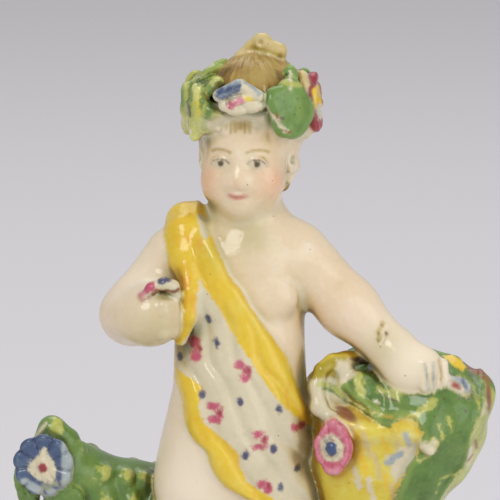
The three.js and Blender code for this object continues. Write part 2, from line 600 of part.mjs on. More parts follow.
// The leaves in the horn's mouth, hollowed between their turned edges, and a crest behind the hand.
function hornLeaves() {
  const heap = join(2, ball([23.4, -6.4, 96], 2.8), ball([26, -4, 93.8], 4.6), ball([31, -5.8, 91.2], 5),
    ball([36, -6.4, 91], 4.4), ball([30, 1, 96], 5));
  const edge = chain(1, [
    [20.4, -7, 96.4, 0.4], [23.4, -8.4, 93.6, 0.6], [27, -9.8, 91, 0.6], [31, -10.6, 88.8, 0.5],
  ]);
  const hollows = join(0.8,
    limb([20.8, -8.6, 97.8], [22.4, -9.6, 93.4], 0.8, 1),
    limb([25.6, -9.2, 97], [27.4, -10, 93.8], 1.5, 1.1),
    limb([29.4, -9.6, 96], [30.4, -11.6, 92], 1.3, 1.5),
    limb([30.4, -11.8, 91.6], [36.6, -11.4, 90.6], 1.4, 1));
  const crest = sprig({
    at: [42.6, 0.6, 98], out: [0.1, -0.5, 0.85], up: [1, 0, -0.4], length: 9, width: 7.6, arch: 0.8,
    puff: 0.4,
  });
  const rear = sprig({
    at: [30, 11, 99.4], out: [0, 0.4, 1], up: [-1, 0, 0.1], length: 14, width: 9, arch: 0.8, puff: 0.5,
  });
  return within([38, -4, 88], 26, join(2, join(1, carve(0.9, heap, hollows), edge), crest, rear));
}

// The bud and the two blossoms on the horn.
function hornFlowers() {
  const at = [38.1, -12.6, 84];
  const bud = join(0.7, ball(moved(at, -0.8, 0, 0.2), 1.1), ball(moved(at, 0.8, 0, 0.9), 0.8),
    ball(moved(at, 0.2, 0.1, -0.9), 1));
  const pink = blossom({
    at: [18.5, -11.2, 83.6], out: [-0.35, -1, 0.05], size: 12, squeeze: 0.72, boss: 0.28, petals: 9, cup: 0.6,
    notch: 0.02, point: 0.1,
  });
  const blue = blossom({
    at: [44.2, -6.8, 95.6], out: [0.2, -0.7, 0.7], up: [1, 0, -0.35], size: 5.6, squeeze: 0.72, boss: 0.18,
    cup: 0.3,
  });
  return [bud, pink, blue];
}

// The leaves and the blossom that finish the cornucopia's tail.
function tailLeaves() {
  const crest = chain(1.5, [[-41.6, -0.6, 82.4, 3], [-40.5, -0.4, 85.2, 2.6], [-37.6, 0, 82.6, 3]]);
  const leaves = [
    {
      at: [-45.4, -1.6, 74], out: [-0.7, -0.8, 0], up: [-0.1, 0, -1], length: 13, width: 8, lobes: 3,
      arch: 0.8,
    },
    { at: [-38.4, -4.6, 71.4], out: [0, -1, -0.3], up: [0.4, 0, -1], length: 11, width: 9, fold: 0.6 },
    {
      at: [-35.4, -2.4, 80], out: [0.4, -1, 0.3], up: [0.6, 0, 1], length: 6.5, width: 5, lobes: 3, fold: 0.5,
    },
  ];
  return within([-40, -2, 77], 17, join(1, crest, ...leaves.map((leaf) => sprig(leaf))));
}

function tailBlossom() {
  return blossom({
    at: [-42, -4.8, 78.6], out: [-0.2, -1, 0.05], size: 13, boss: 0.16, petals: 9, cup: 0.6, notch: 0.04,
  });
}

// A stump behind the legs carries the cornucopia, and a mound carries the stump and the boy.
function ground() {
  const trunk = chain(4, [[13, 12, MOUND_TOP - 4, 12], [15, 11, 36, 8.5], [16.5, 10.5, 56, 8]]);
  const bark = (x, y, z) => {
    const turn = atan2(y - 11, x - 15);
    return trunk(x, y, z) - 0.45 * sin(turn * 7 + z * 0.12) - 0.25 * sin(z * 0.5 + x * 0.6);
  };
  const root = limb([13, 12, MOUND_TOP], [-6, 8, MOUND_TOP - 4], 6, 5);
  const hill = ellipsoid([0, 0, PLINTH.height - 3], [35, 27.5, MOUND_TOP - PLINTH.height + 3]);
  const mound = (x, y, z) => {
    const swells = 0.6 * sin(0.29 * x + 1) * sin(0.34 * y + 0.4) + 0.2 * sin(0.6 * x - 0.4 * y);
    return hill(x, y, z) - swells;
  };
  return join(3, join(3, bark, root), mound);
}

function sculpture() {
  const body = join(4, torso(), legs());
  const arms = join(0.8, rightArm(), posyStump());
  const boy = join(1.2, join(2.2, join(2.2, body, leftArm()), drape(body)), arms);
  const headAndWreath = wreath(join(2, head(), topKnot()));
  const plenty = join(1.1, horn(), hornLip(), hornLeaves(), ...hornFlowers(), tailLeaves(), tailBlossom());
  const all = join(1.4, join(2.2, boy, headAndWreath), plenty, ground());
  // The clay ends inside the plinth.
  return (x, y, z) => max(all(x, y, z), PLINTH.height - 2 - z);
}

// Cuts a field into triangles. Each grid cell is split into six tetrahedra that share the cell's long
// diagonal, so neighbouring cells always agree and the surface has no gaps.
function polygonise(field, { low, high }, cell) {
  const size = low.map((v, i) => Math.ceil((high[i] - v) / cell) + 1);
  const [nx, ny, nz] = size;
  const place = (i) => {
    const column = [i % nx, Math.floor(i / nx) % ny, Math.floor(i / (nx * ny))];
    return column.map((count, axis) => low[axis] + count * cell);
  };
  // Blocks of nodes that are well away from the surface take the value at their middle.
  const values = new Float64Array(nx * ny * nz);
  const block = 5;
  const safe = block * cell * 1.5;
  const fillBlock = (i, j, k) => {
    const middle = field(...[i, j, k].map((v, axis) => low[axis] + (v + (block - 1) / 2) * cell));
    for (let c = k; c < min(k + block, nz); c++) {
      for (let b = j; b < min(j + block, ny); b++) {
        for (let a = i; a < min(i + block, nx); a++) {
          const node = a + b * nx + c * nx * ny;
          values[node] = abs(middle) > safe ? middle : field(...place(node));
        }
      }
    }
  };
  for (let k = 0; k < nz; k += block) {
    for (let j = 0; j < ny; j += block) {
      for (let i = 0; i < nx; i += block) fillBlock(i, j, k);
    }
  }

  const cornerStep = [...Array(8).keys()].map((c) => (c & 1) + (c & 2 ? nx : 0) + (c & 4 ? nx * ny : 0));
  const tetrahedra = [[0, 1, 2], [1, 2, 0], [2, 0, 1], [0, 2, 1], [2, 1, 0], [1, 0, 2]].map(([a, b], i) => {
    const path = [0, 1 << a, (1 << a) | (1 << b), 7];
    return i < 3 ? path : [path[0], path[2], path[1], path[3]];
  });
  // For each set of inside corners, an even reordering that puts those corners first.
  const even = [[0, 1, 2, 3], [0, 2, 3, 1], [0, 3, 1, 2], [1, 0, 3, 2], [1, 2, 0, 3], [1, 3, 2, 0],
    [2, 0, 1, 3], [2, 1, 3, 0], [2, 3, 0, 1], [3, 0, 2, 1], [3, 1, 0, 2], [3, 2, 1, 0]];
  const bits = (order, count) => order.slice(0, count).reduce((m, v) => m | (1 << v), 0);
  const orders = [...Array(16).keys()].map((inside) => {
    const count = [0, 1, 2, 3].filter((v) => inside & (1 << v)).length;
    return { count, order: even.find((o) => bits(o, count) === inside) };
  });

  const points = [];
  const triangles = [];
  const made = new Map();
  const crossing = (i, j) => {
    const key = i < j ? i * values.length + j : j * values.length + i;
    if (!made.has(key)) {
      const t = clamp(values[i] / (values[i] - values[j]), 0.02, 0.98);
      const [p, q] = [place(i), place(j)];
      made.set(key, points.length);
      points.push(p.map((v, axis) => mix(v, q[axis], t)));
    }
    return made.get(key);
  };
  for (let k = 0; k < nz - 1; k++) for (let j = 0; j < ny - 1; j++) for (let i = 0; i < nx - 1; i++) {
    const corners = cornerStep.map((step) => i + j * nx + k * nx * ny + step);
    const filled = corners.filter((c) => values[c] < 0).length;
    if (filled === 0 || filled === 8) continue;
    for (const tetrahedron of tetrahedra) {
      const v = tetrahedron.map((c) => corners[c]);
      const { count, order } = orders[v.reduce((m, c, bit) => m | (values[c] < 0 ? 1 << bit : 0), 0)];
      if (count === 0 || count === 4) continue;
      const [a, b, c, d] = order.map((o) => v[o]);
      if (count === 1) triangles.push([crossing(a, b), crossing(a, c), crossing(a, d)]);
      if (count === 3) triangles.push([crossing(d, a), crossing(d, b), crossing(d, c)]);
      if (count === 2) {
        const quad = [crossing(a, c), crossing(a, d), crossing(b, d), crossing(b, c)];
        triangles.push([quad[0], quad[1], quad[2]], [quad[0], quad[2], quad[3]]);
      }
    }
  }
  return { points, triangles };
}

// A heap that gives back its cheapest entry first.
class Heap {
  entries = [];

  push(entry) {
    let i = this.entries.push(entry) - 1;
    while (i > 0) {
      const parent = (i - 1) >> 1;
      if (this.entries[parent].cost <= this.entries[i].cost) break;
      [this.entries[parent], this.entries[i]] = [this.entries[i], this.entries[parent]];
      i = parent;
    }
  }

  pop() {
    const top = this.entries[0];
    const last = this.entries.pop();
    if (this.entries.length === 0) return top;
    this.entries[0] = last;
    let i = 0;
    for (;;) {
      let least = i;
      for (const child of [2 * i + 1, 2 * i + 2])
        if (child < this.entries.length && this.entries[child].cost < this.entries[least].cost) least = child;
      if (least === i) return top;
      [this.entries[least], this.entries[i]] = [this.entries[i], this.entries[least]];
      i = least;
    }
  }
}

// Simplifies a closed mesh by collapsing the edge that moves the surface least, until target triangles are
// left. A vertex's quadric q sums the squared distances to the planes of its faces, as the ten terms of a 4x4
// matrix.
function simplify({ points, triangles }, target) {
  const minus = (a, b) => [a[0] - b[0], a[1] - b[1], a[2] - b[2]];
  const cross = (a, b) => [a[1] * b[2] - a[2] * b[1], a[2] * b[0] - a[0] * b[2], a[0] * b[1] - a[1] * b[0]];
  const dot = (a, b) => a[0] * b[0] + a[1] * b[1] + a[2] * b[2];
  const faces = points.map(() => new Set());
  const quadrics = points.map(() => new Float64Array(10));
  triangles.forEach((t, index) => {
    t.forEach((v) => faces[v].add(index));
    const n = cross(minus(points[t[1]], points[t[0]]), minus(points[t[2]], points[t[0]]));
    const length = sqrt(dot(n, n)) || 1;
    const plane = [n[0] / length, n[1] / length, n[2] / length, -dot(n, points[t[0]]) / length];
    let term = 0;
    for (let i = 0; i < 4; i++) for (let j = i; j < 4; j++) {
      for (const v of t) quadrics[v][term] += plane[i] * plane[j] * length;
      term++;
    }
  });

  const error = (q, [x, y, z]) => q[0] * x * x + 2 * q[1] * x * y + 2 * q[2] * x * z + 2 * q[3] * x
    + q[4] * y * y + 2 * q[5] * y * z + 2 * q[6] * y + q[7] * z * z + 2 * q[8] * z + q[9];
  // The point with the least error, or the middle of the edge where the faces are nearly flat.
  const bestPlace = (q, a, b) => {
    const middle = a.map((v, i) => (v + b[i]) / 2);
    const c0 = q[4] * q[7] - q[5] * q[5];
    const c1 = q[2] * q[5] - q[1] * q[7];
    const c2 = q[1] * q[5] - q[2] * q[4];
    const determinant = q[0] * c0 + q[1] * c1 + q[2] * c2;
    const spread = q[0] + q[4] + q[7];
    if (abs(determinant) < 1e-4 * spread ** 3) return middle;
    const c3 = q[0] * q[7] - q[2] * q[2];
    const c4 = q[1] * q[2] - q[0] * q[5];
    const c5 = q[0] * q[4] - q[1] * q[1];
    const best = [
      -(c0 * q[3] + c1 * q[6] + c2 * q[8]) / determinant,
      -(c1 * q[3] + c3 * q[6] + c4 * q[8]) / determinant,
      -(c2 * q[3] + c4 * q[6] + c5 * q[8]) / determinant,
    ];
    const away = minus(best, middle);
    const edge = minus(a, b);
    return dot(away, away) < dot(edge, edge) ? best : middle;
  };

  const heap = new Heap();
  const version = new Uint32Array(points.length);
  const gone = new Uint8Array(points.length);
  const offer = (a, b) => {
    const q = quadrics[a].map((v, i) => v + quadrics[b][i]);
    const place = bestPlace(q, points[a], points[b]);
    const edge = minus(points[a], points[b]);
    const cost = error(q, place) + 1e-4 * dot(edge, edge);
    heap.push({ cost, a, b, place, stamp: version[a] + version[b] });
  };
  const neighbours = (v) => new Set([...faces[v]].flatMap((f) => triangles[f]).filter((w) => w !== v));
  points.forEach((_, a) => neighbours(a).forEach((b) => b > a && offer(a, b)));

  // Whether moving v to place would turn over or crush a face that doesn't also hold w.
  const turnsOver = (v, w, place) => [...faces[v]].some((f) => {
    const t = triangles[f];
    if (t.includes(w)) return false;
    const before = t.map((i) => points[i]);
    const after = t.map((i) => (i === v ? place : points[i]));
    const n0 = cross(minus(before[1], before[0]), minus(before[2], before[0]));
    const n1 = cross(minus(after[1], after[0]), minus(after[2], after[0]));
    return dot(n0, n1) < 0.25 * sqrt(dot(n0, n0) * dot(n1, n1)) || dot(n1, n1) < 1e-6;
  });

  let count = triangles.length;
  while (count > target && heap.entries.length) {
    const { a, b, place, stamp } = heap.pop();
    if (gone[a] || gone[b] || stamp !== version[a] + version[b]) continue;
    const around = neighbours(b);
    const shared = [...neighbours(a)].filter((v) => around.has(v));
    if (shared.length !== 2 || turnsOver(a, b, place) || turnsOver(b, a, place)) continue;
    for (const f of [...faces[b]]) {
      if (triangles[f].includes(a)) {
        triangles[f].forEach((v) => faces[v].delete(f));
        triangles[f] = null;
        count--;
      } else {
        triangles[f] = triangles[f].map((v) => (v === b ? a : v));
        faces[a].add(f);
      }
    }
    gone[b] = 1;
    points[a] = place;
    quadrics[a] = quadrics[a].map((v, i) => v + quadrics[b][i]);
    version[a]++;
    neighbours(a).forEach((v) => offer(a, v));
  }
  return { points, triangles: triangles.filter(Boolean) };
}

// The plinth: a rectangle with clipped corners, extruded and lightly bevelled.
function plinthGeometry({ width, depth, height, corner, bevel }) {
  const x = width / 2 - bevel;
  const y = depth / 2 - bevel;
  const outline = new THREE.Shape([
    [x - corner, -y], [x, corner - y], [x, y - corner], [x - corner, y],
    [corner - x, y], [-x, y - corner], [-x, corner - y], [corner - x, -y],
  ].map((p) => new THREE.Vector2(...p)));
  const geometry = new THREE.ExtrudeGeometry(outline, {
    depth: height - 2 * bevel, bevelSize: bevel, bevelThickness: bevel, bevelSegments: 2,
  });
  return geometry.translate(0, 0, bevel);
}

const wasm = await Module();
wasm.setup();

function solidOf(vertProperties, triVerts) {
  return new wasm.Manifold(new wasm.Mesh({ numProp: 3, vertProperties, triVerts }));
}

function solidOfGeometry(geometry) {
  geometry.deleteAttribute('normal');
  geometry.deleteAttribute('uv');
  const merged = mergeVertices(geometry);
  return solidOf(merged.attributes.position.array, new Uint32Array(merged.index.array));
}

function geometryOf(solid) {
  const mesh = solid.getMesh();
  const geometry = new THREE.BufferGeometry();
  geometry.setAttribute('position', new THREE.BufferAttribute(mesh.vertProperties, 3));
  geometry.setIndex(new THREE.BufferAttribute(mesh.triVerts, 1));
  geometry.computeVertexNormals();
  return geometry;
}

const { points, triangles } = simplify(polygonise(sculpture(), SCULPTURE_BOX, CELL), KEPT_TRIANGLES);
const clay = solidOf(new Float32Array(points.flat()), new Uint32Array(triangles.flat()));
const joined = clay.add(solidOfGeometry(plinthGeometry(PLINTH)));

const glazed = new THREE.MeshStandardMaterial({ color: 0xe9dcc0, roughness: 0.22, metalness: 0 });
const figure = new THREE.Mesh(geometryOf(joined), glazed);
figure.name = 'pearlware_figure';

const model = new THREE.Group();
model.add(figure);

export default model;
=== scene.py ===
"""A pearlware putto of about 1790, dressed over its CAD solid: the same clay, cut finer, and painted.

A boy with a wreath of leaves and blossoms and a spotted drape rests his left hand on a cornucopia, whose
tail sweeps up behind his legs. The sculpting part is in millimetres, +Z up, with the boy facing -Y. The
meshes and the stage are in metres, in the CAD frame. The clay is a signed distance field: each form is a
function of a 3 x n array of points that is negative inside, and soft unions join forms as slip joins clay.
"""

import math

import bpy
import numpy as np
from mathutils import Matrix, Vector


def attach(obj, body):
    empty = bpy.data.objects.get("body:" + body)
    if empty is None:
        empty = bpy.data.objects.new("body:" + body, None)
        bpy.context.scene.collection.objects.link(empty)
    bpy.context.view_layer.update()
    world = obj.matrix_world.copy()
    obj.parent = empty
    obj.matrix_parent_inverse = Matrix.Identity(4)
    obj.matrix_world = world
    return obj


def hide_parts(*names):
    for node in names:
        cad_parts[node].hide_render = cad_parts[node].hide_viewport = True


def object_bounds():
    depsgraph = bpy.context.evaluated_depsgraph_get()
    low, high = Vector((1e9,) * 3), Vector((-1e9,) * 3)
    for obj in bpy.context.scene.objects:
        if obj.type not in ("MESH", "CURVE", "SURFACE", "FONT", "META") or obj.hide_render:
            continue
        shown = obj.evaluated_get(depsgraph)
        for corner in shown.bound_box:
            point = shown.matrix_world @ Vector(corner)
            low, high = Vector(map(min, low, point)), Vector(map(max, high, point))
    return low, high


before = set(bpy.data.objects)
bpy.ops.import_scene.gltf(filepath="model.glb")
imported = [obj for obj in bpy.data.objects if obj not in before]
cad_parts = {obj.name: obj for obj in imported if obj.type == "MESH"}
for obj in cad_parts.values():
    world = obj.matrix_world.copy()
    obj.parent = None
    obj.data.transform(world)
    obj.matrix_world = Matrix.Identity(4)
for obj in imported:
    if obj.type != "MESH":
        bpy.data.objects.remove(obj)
cad_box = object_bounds()

MM = 0.001
NODE = "pearlware_figure"

# Driving dimensions, as in the part's source
PLINTH_SIZE = (76.0, 62.0, 8.0)
PLINTH_CORNER = 2.5
MOUND_TOP = 17.0
LEG = 56.0
TORSO = 50.0
NECK = 20.5
HEAD_TURN = math.radians(10)
HORN_MOUTH = {"width": 36.0, "depth": 27.0, "tilt": math.radians(24)}
CLOTH = 1.5
LEAF = 1.25

HIP = MOUND_TOP + LEG
SHOULDER = HIP + TORSO
HEAD = SHOULDER + NECK


# Field helpers


def column(values):
    return np.array(values, float).reshape(-1, 1)


def length(v):
    return np.sqrt((v * v).sum(0))


def smooth_min(a, b, k):
    h = np.maximum(k - np.abs(a - b), 0) / k
    return np.minimum(a, b) - h * h * k * 0.25


def smooth_max(a, b, k):
    return -smooth_min(-a, -b, k)


def smooth_step(low, high, v):
    t = np.clip((v - low) / (high - low), 0, 1)
    return t * t * (3 - 2 * t)


def bump(v, width):
    return np.exp(-((v / width) ** 2))


def join(k, *forms):
    """Joins forms with a fillet of about k."""

    def form(p):
        d = forms[0](p)
        for other in forms[1:]:
            d = smooth_min(d, other(p), k)
        return d

    return form


def carve(k, form, tool):
    return lambda p: smooth_max(form(p), -tool(p), k)


def ball(centre, r):
    c = column(centre)
    return lambda p: length(p - c) - r


def ellipsoid(centre, radii):
    c, r = column(centre), column(radii)

    def form(p):
        q = (p - c) / r
        scaled = length(q)
        return scaled * (scaled - 1) / np.maximum(length(q / r), 1e-6)

    return form


def limb(a, b, ra, rb=None):
    """A round bar from a to b whose radius goes from ra to rb."""
    start, way = column(a), column(b) - column(a)
    square = float((way * way).sum())
    grow = (ra if rb is None else rb) - ra

    def form(p):
        q = p - start
        t = np.clip((q * way).sum(0) / square, 0, 1)
        return length(q - way * t) - ra - grow * t

    return form


def chain(k, stops):
    """Limbs end to end. A stop is (x, y, z, radius)."""
    bars = [limb(a[:3], b[:3], a[3], b[3]) for a, b in zip(stops, stops[1:])]
    return join(k, *bars)


def within(centre, reach, form, margin=5.0):
    """Away from a form's ball of reach, the distance to that ball stands for the form, which saves time."""
    c = column(centre)

    def field(p):
        d = length(p - c) - reach
        near = d < margin
        if near.any():
            d[near] = form(p[:, near])
        return d

    return field


def pair_of(make):
    """The same form on both sides of the middle: make is called with -1 and 1."""
    right, left = make(-1), make(1)
    return lambda p: np.minimum(right(p), left(p))


def through(*pairs):
    """A smooth curve through pairs of (where, value), listed from low to high, level beyond both ends."""
    where = np.array([pair[0] for pair in pairs], float)
    value = np.array([pair[1] for pair in pairs], float)
    ends = np.arange(len(where))
    low, high = np.maximum(ends - 1, 0), np.minimum(ends + 1, len(where) - 1)
    slope = (value[high] - value[low]) / (where[high] - where[low])

    def curve(v):
        i = np.clip(np.searchsorted(where, v) - 1, 0, len(where) - 2)
        width = where[i + 1] - where[i]
        t = np.clip((v - where[i]) / width, 0, 1)
        s = 1 - t
        return (
            s * s * (1 + 2 * t) * value[i]
            + s * s * t * width * slope[i]
            + t * t * (3 - 2 * t) * value[i + 1]
            - t * t * s * width * slope[i + 1]
        )

    return curve


# Marks on the front, in x and z


def to_line(x, z, stops):
    """The distance to a broken line through stops."""
    nearest = np.full(x.shape, np.inf)
    for (ax, az), (bx, bz) in zip(stops, stops[1:]):
        ex, ez = bx - ax, bz - az
        t = np.clip(((x - ax) * ex + (z - az) * ez) / (ex * ex + ez * ez), 0, 1)
        nearest = np.minimum(nearest, np.hypot(x - ax - t * ex, z - az - t * ez))
    return nearest


def stroke(x, z, radius, *stops):
    """The distance to a brush stroke through stops."""
    return to_line(x, z, stops) - radius


def area(x, z, *corners):
    """The distance to a polygon, negative inside it."""
    closed = corners + corners[:1]
    inside = np.zeros(x.shape, bool)
    for (ax, az), (bx, bz) in zip(closed, closed[1:]):
        if az != bz:
            inside ^= ((az > z) != (bz > z)) & (x < ax + (z - az) * (bx - ax) / (bz - az))
    return np.where(inside, -1, 1) * to_line(x, z, closed)


def spot(x, z, centre, wide, high=None, tilt=0.0):
    """The distance to an oval dab that is wide and high from its middle, turned by tilt."""
    high = wide if high is None else high
    dx, dz = x - centre[0], z - centre[1]
    u = dx * math.cos(tilt) + dz * math.sin(tilt)
    v = -dx * math.sin(tilt) + dz * math.cos(tilt)
    return (np.hypot(u / wide, v / high) - 1) * min(wide, high)


# Applied sprigs: leaves and blossoms


def axes(out, up):
    """Axes of an applied piece: n looks out of it, u runs from its base to its tip, and v is across."""
    n = Vector(out).normalized()
    u = (Vector(up) - n * n.dot(Vector(up))).normalized()
    return column(u), column(u.cross(n)), column(n)


def scallop(angle, lobes, notch, point=0):
    """A rim of rounded lobes that meet in sharp notches, as a share of the full radius. point draws in its
    corners, so that its ends are pointed."""
    return 1 - 2 * notch * (1 - np.abs(np.cos(lobes * angle / 2))) - point * np.sin(2 * angle) ** 2


def sprig(
    at, out, up, length_, width, lobes=5, notch=0.1, point=0,
    arch=0, dish=0, fold=0, puff=0, veins=0, creases=0,
):
    """A plate pressed on the clay. Its outline is an oval with lobes. arch bends its length back to the clay
    and dish its whole rim, fold raises the midrib, puff fills out its middle, veins cuts a leaf's veins and
    creases parts a blossom's petals."""
    c = column(at)
    u, v, n = axes(out, up)
    half, side = length_ / 2, width / 2
    rounding = LEAF * 0.8

    def form(p):
        q = p - c
        a = (q * u).sum(0) / half
        b = (q * v).sum(0) / side
        angle = np.arctan2(b, a)
        spread = np.sqrt(a * a + b * b)
        height = (q * n).sum(0) + arch * a * a + dish * spread * spread + fold * np.abs(b)
        if veins:
            side_veins = np.abs(np.sin((a - 0.55 * np.abs(b)) * half * 1.35))
            height = height + veins * (bump(b * side, 0.45) + 0.6 * bump(side_veins, 0.28) * (spread < 0.95))
        if creases:
            between = (1 - np.abs(np.cos(lobes * angle / 2))) ** 2
            height = height + creases * between * smooth_step(0.15, 0.6, spread)
        rim = (spread - scallop(angle, lobes, notch, point)) * min(half, side) + rounding
        face = np.abs(height) - LEAF - puff * (1 - np.minimum(spread, 1) ** 2) + rounding
        outside = np.sqrt(np.maximum(rim, 0) ** 2 + np.maximum(face, 0) ** 2)
        return np.minimum(np.maximum(rim, face), 0) + outside - rounding

    return within(at, max(half, side) + abs(arch) + abs(dish) + puff + LEAF, form)


def blossom(at, out, up=(0, 0, 1), size=10, squeeze=1.0, boss=0.22, petals=5, cup=0.7, creases=0.5, point=0):
    """A round of petals, dished by cup, with a boss in its middle."""
    n = axes(out, up)[2]
    heart = tuple((column(at) + n * LEAF * 0.7).ravel())
    notch = 0.7 * creases / petals
    ring = sprig(at, out, up, size, size * squeeze, petals, notch, point, dish=-cup, creases=creases)
    return join(0.5, ring, ball(heart, size * boss * 0.6))


# The boy. His right side is at -X.

RIGHT_SHOULDER = (-14.3, 1, SHOULDER - 1.5)
LEFT_SHOULDER = (11, 1, SHOULDER - 1)
RIGHT_ELBOW = (-24, 0.5, SHOULDER - 13.6)
LEFT_ELBOW = (21.6, -1, SHOULDER - 11.8)
RIGHT_FIST = (-17.2, -12, SHOULDER - 11.6)
LEFT_WRIST = (29.8, -4, SHOULDER - 19.4)
RIGHT_HIP = (-9.5, 0.5, HIP - 1)
LEFT_HIP = (5, 0, HIP - 2)
RIGHT_KNEE = (-10, -2, HIP - 28)
LEFT_KNEE = (8.5, -5, HIP - 27)
RIGHT_ANKLE = (-10.5, 1.5, MOUND_TOP + 5)
LEFT_ANKLE = (8.5, 0.5, MOUND_TOP + 5)


def moved(place, x=0.0, y=0.0, z=0.0):
    return (place[0] + x, place[1] + y, place[2] + z)


def torso():
    chest = ellipsoid((-0.6, 0.5, SHOULDER - 11), (12.7, 9.8, 14))
    belly = ellipsoid((-1.7, -1.4, HIP + 18), (13.7, 11, 16))
    flank = ellipsoid((3.7, 0.5, HIP + 26), (7.4, 8, 13))
    pelvis = ellipsoid((-2.9, 0.5, HIP + 5), (15.4, 11.8, 14))
    yoke = limb((-11.5, 1, SHOULDER - 1.5), (9, 1, SHOULDER - 1), 6.2)
    neck = limb((0.3, 1.5, SHOULDER), (0.3, 2, HEAD - 8), 8.2, 6.8)
    breasts = pair_of(lambda s: ellipsoid((5.6 * s - 0.3, -6.6, SHOULDER - 9), (5.2, 3, 3.8)))
    trunk = join(7, chest, belly, join(4, pelvis, flank), join(9, yoke, neck))
    navel = ball((-0.6, -13, HIP + 15), 1.0)
    return carve(1.2, join(2.5, trunk, breasts), navel)


def leg(hip, knee, ankle, thigh):
    calf = tuple(k + 0.4 * (a - k) for k, a in zip(knee, ankle))
    calf = moved(calf, y=2)
    kneecap = ball(moved(knee, y=-2, z=0.5), 4.4)
    return join(2, chain(0.8, [(*hip, thigh), (*knee, 6.2), (*calf, 6), (*ankle, 4.1)]), kneecap)


def foot(ankle, way):
    """A foot flat on the mound, with its toes turned by way."""
    x, y, z = ankle
    sole = z - 2.2
    toe_x, toe_y = x + 12 * math.sin(way), y - 12 * math.cos(way)
    toes = []
    for i in range(-2, 3):
        across = 1.45 * i
        place = (toe_x + across * math.cos(way), toe_y + across * math.sin(way) + 0.4 * abs(i), sole - 1.1)
        toes.append(ball(place, 1.35 - 0.1 * abs(i)))
    instep = limb((x, y, sole), (x + 0.82 * (toe_x - x), y + 0.82 * (toe_y - y), sole - 0.9), 3.8, 2.4)
    forefoot = ellipsoid((x + 0.75 * (toe_x - x), y + 0.75 * (toe_y - y), sole - 1.1), (3.9, 3.4, 2))
    heel = ball((x, y + 1.6, sole - 0.2), 3.4)
    return join(0.7, join(2, instep, forefoot, heel), *toes)


def legs():
    right = join(3, leg(RIGHT_HIP, RIGHT_KNEE, RIGHT_ANKLE, 9.4), foot(RIGHT_ANKLE, -0.25))
    left = join(3, leg(LEFT_HIP, LEFT_KNEE, LEFT_ANKLE, 8.8), foot(LEFT_ANKLE, 0.5))
    return join(2.5, right, left)


def right_arm():
    """The right arm is bent, and its closed hand at the breast holds the stump of a lost posy."""
    upper = limb(RIGHT_SHOULDER, RIGHT_ELBOW, 6.7, 5.7)
    fore = ellipsoid((-21.4, -5, SHOULDER - 12.6), (7.6, 8.6, 5.7))
    fist = ellipsoid(moved(RIGHT_FIST, -1.5, 0.8, -0.1), (5.1, 4.2, 5.3))
    fingers = []
    for i in range(4):
        knuckle, tip = moved(RIGHT_FIST, 0.6, -2.4, 2.5 - 2 * i), moved(RIGHT_FIST, 2.3, -0.6, 2.7 - 2 * i)
        fingers.append(limb(knuckle, tip, 1.2))
    crease = limb(moved(RIGHT_FIST, -0.4, -4.6, 1.6), moved(RIGHT_FIST, 2.2, -4.4, 2.2), 0.4)
    return carve(0.5, join(1.2, join(6, upper, fore, fist), *fingers), crease)


POSY_RIDGE = [
    (-3.7, -1.2, 4, 1), (-2, -1.8, 6, 1.1), (0.6, -1.8, 7, 1.2), (2.3, -1, 6.2, 1.3), (3, -0.4, 4.4, 1.2),
]


def posy_stump():
    """What is left of the posy: a low broken ridge that runs over the top of the hand."""
    ridge = chain(1, [(*moved(RIGHT_FIST, x, y, z), r) for x, y, z, r in POSY_RIDGE])
    crack = [(*moved(RIGHT_FIST, x + 0.4, y - 1.9, z - 1.6), 0.6) for x, y, z, r in POSY_RIDGE]
    break_line = chain(0.3, crack)
    return carve(0.6, ridge, break_line)


def left_arm():
    """The left arm is held out, and its hand lies on the cornucopia, fingers curled over the front."""
    x, y, z = LEFT_WRIST
    upper = limb(LEFT_SHOULDER, LEFT_ELBOW, 6.8, 5.9)
    fore = limb(LEFT_ELBOW, LEFT_WRIST, 5.9, 4.7)
    back = limb((x + 2.2, y - 1, z - 2.2), (x + 7, y - 2.2, z - 4.2), 4.9, 4.3)
    palm = ellipsoid((x + 4.8, y - 3.2, z - 5), (5, 3.3, 4.7))
    fingers = []
    for i in range(4):
        knuckle = (x + 7.2 + 1.35 * i, y - 5.9 + 0.95 * i, z - 2.6 - 0.2 * i)
        fingers.append(limb(knuckle, moved(knuckle, 0.3, -0.4, -5 + 0.45 * i), 1.15, 1.05))
    crease = limb((x - 1.6, y - 4.8, z + 2), (x + 0.6, y - 3, z + 5.2), 0.35)
    return carve(0.7, join(0.7, join(3, upper, fore, back, palm), join(0.15, *fingers)), crease)


# The head, in its own coordinates: the face looks along -Y and the middle of the head is the origin.
# The face is a plain one on a small child's usual proportions.

EYE = (3.8, -7.8, -1.4)
MOUTH_HEIGHT = -8


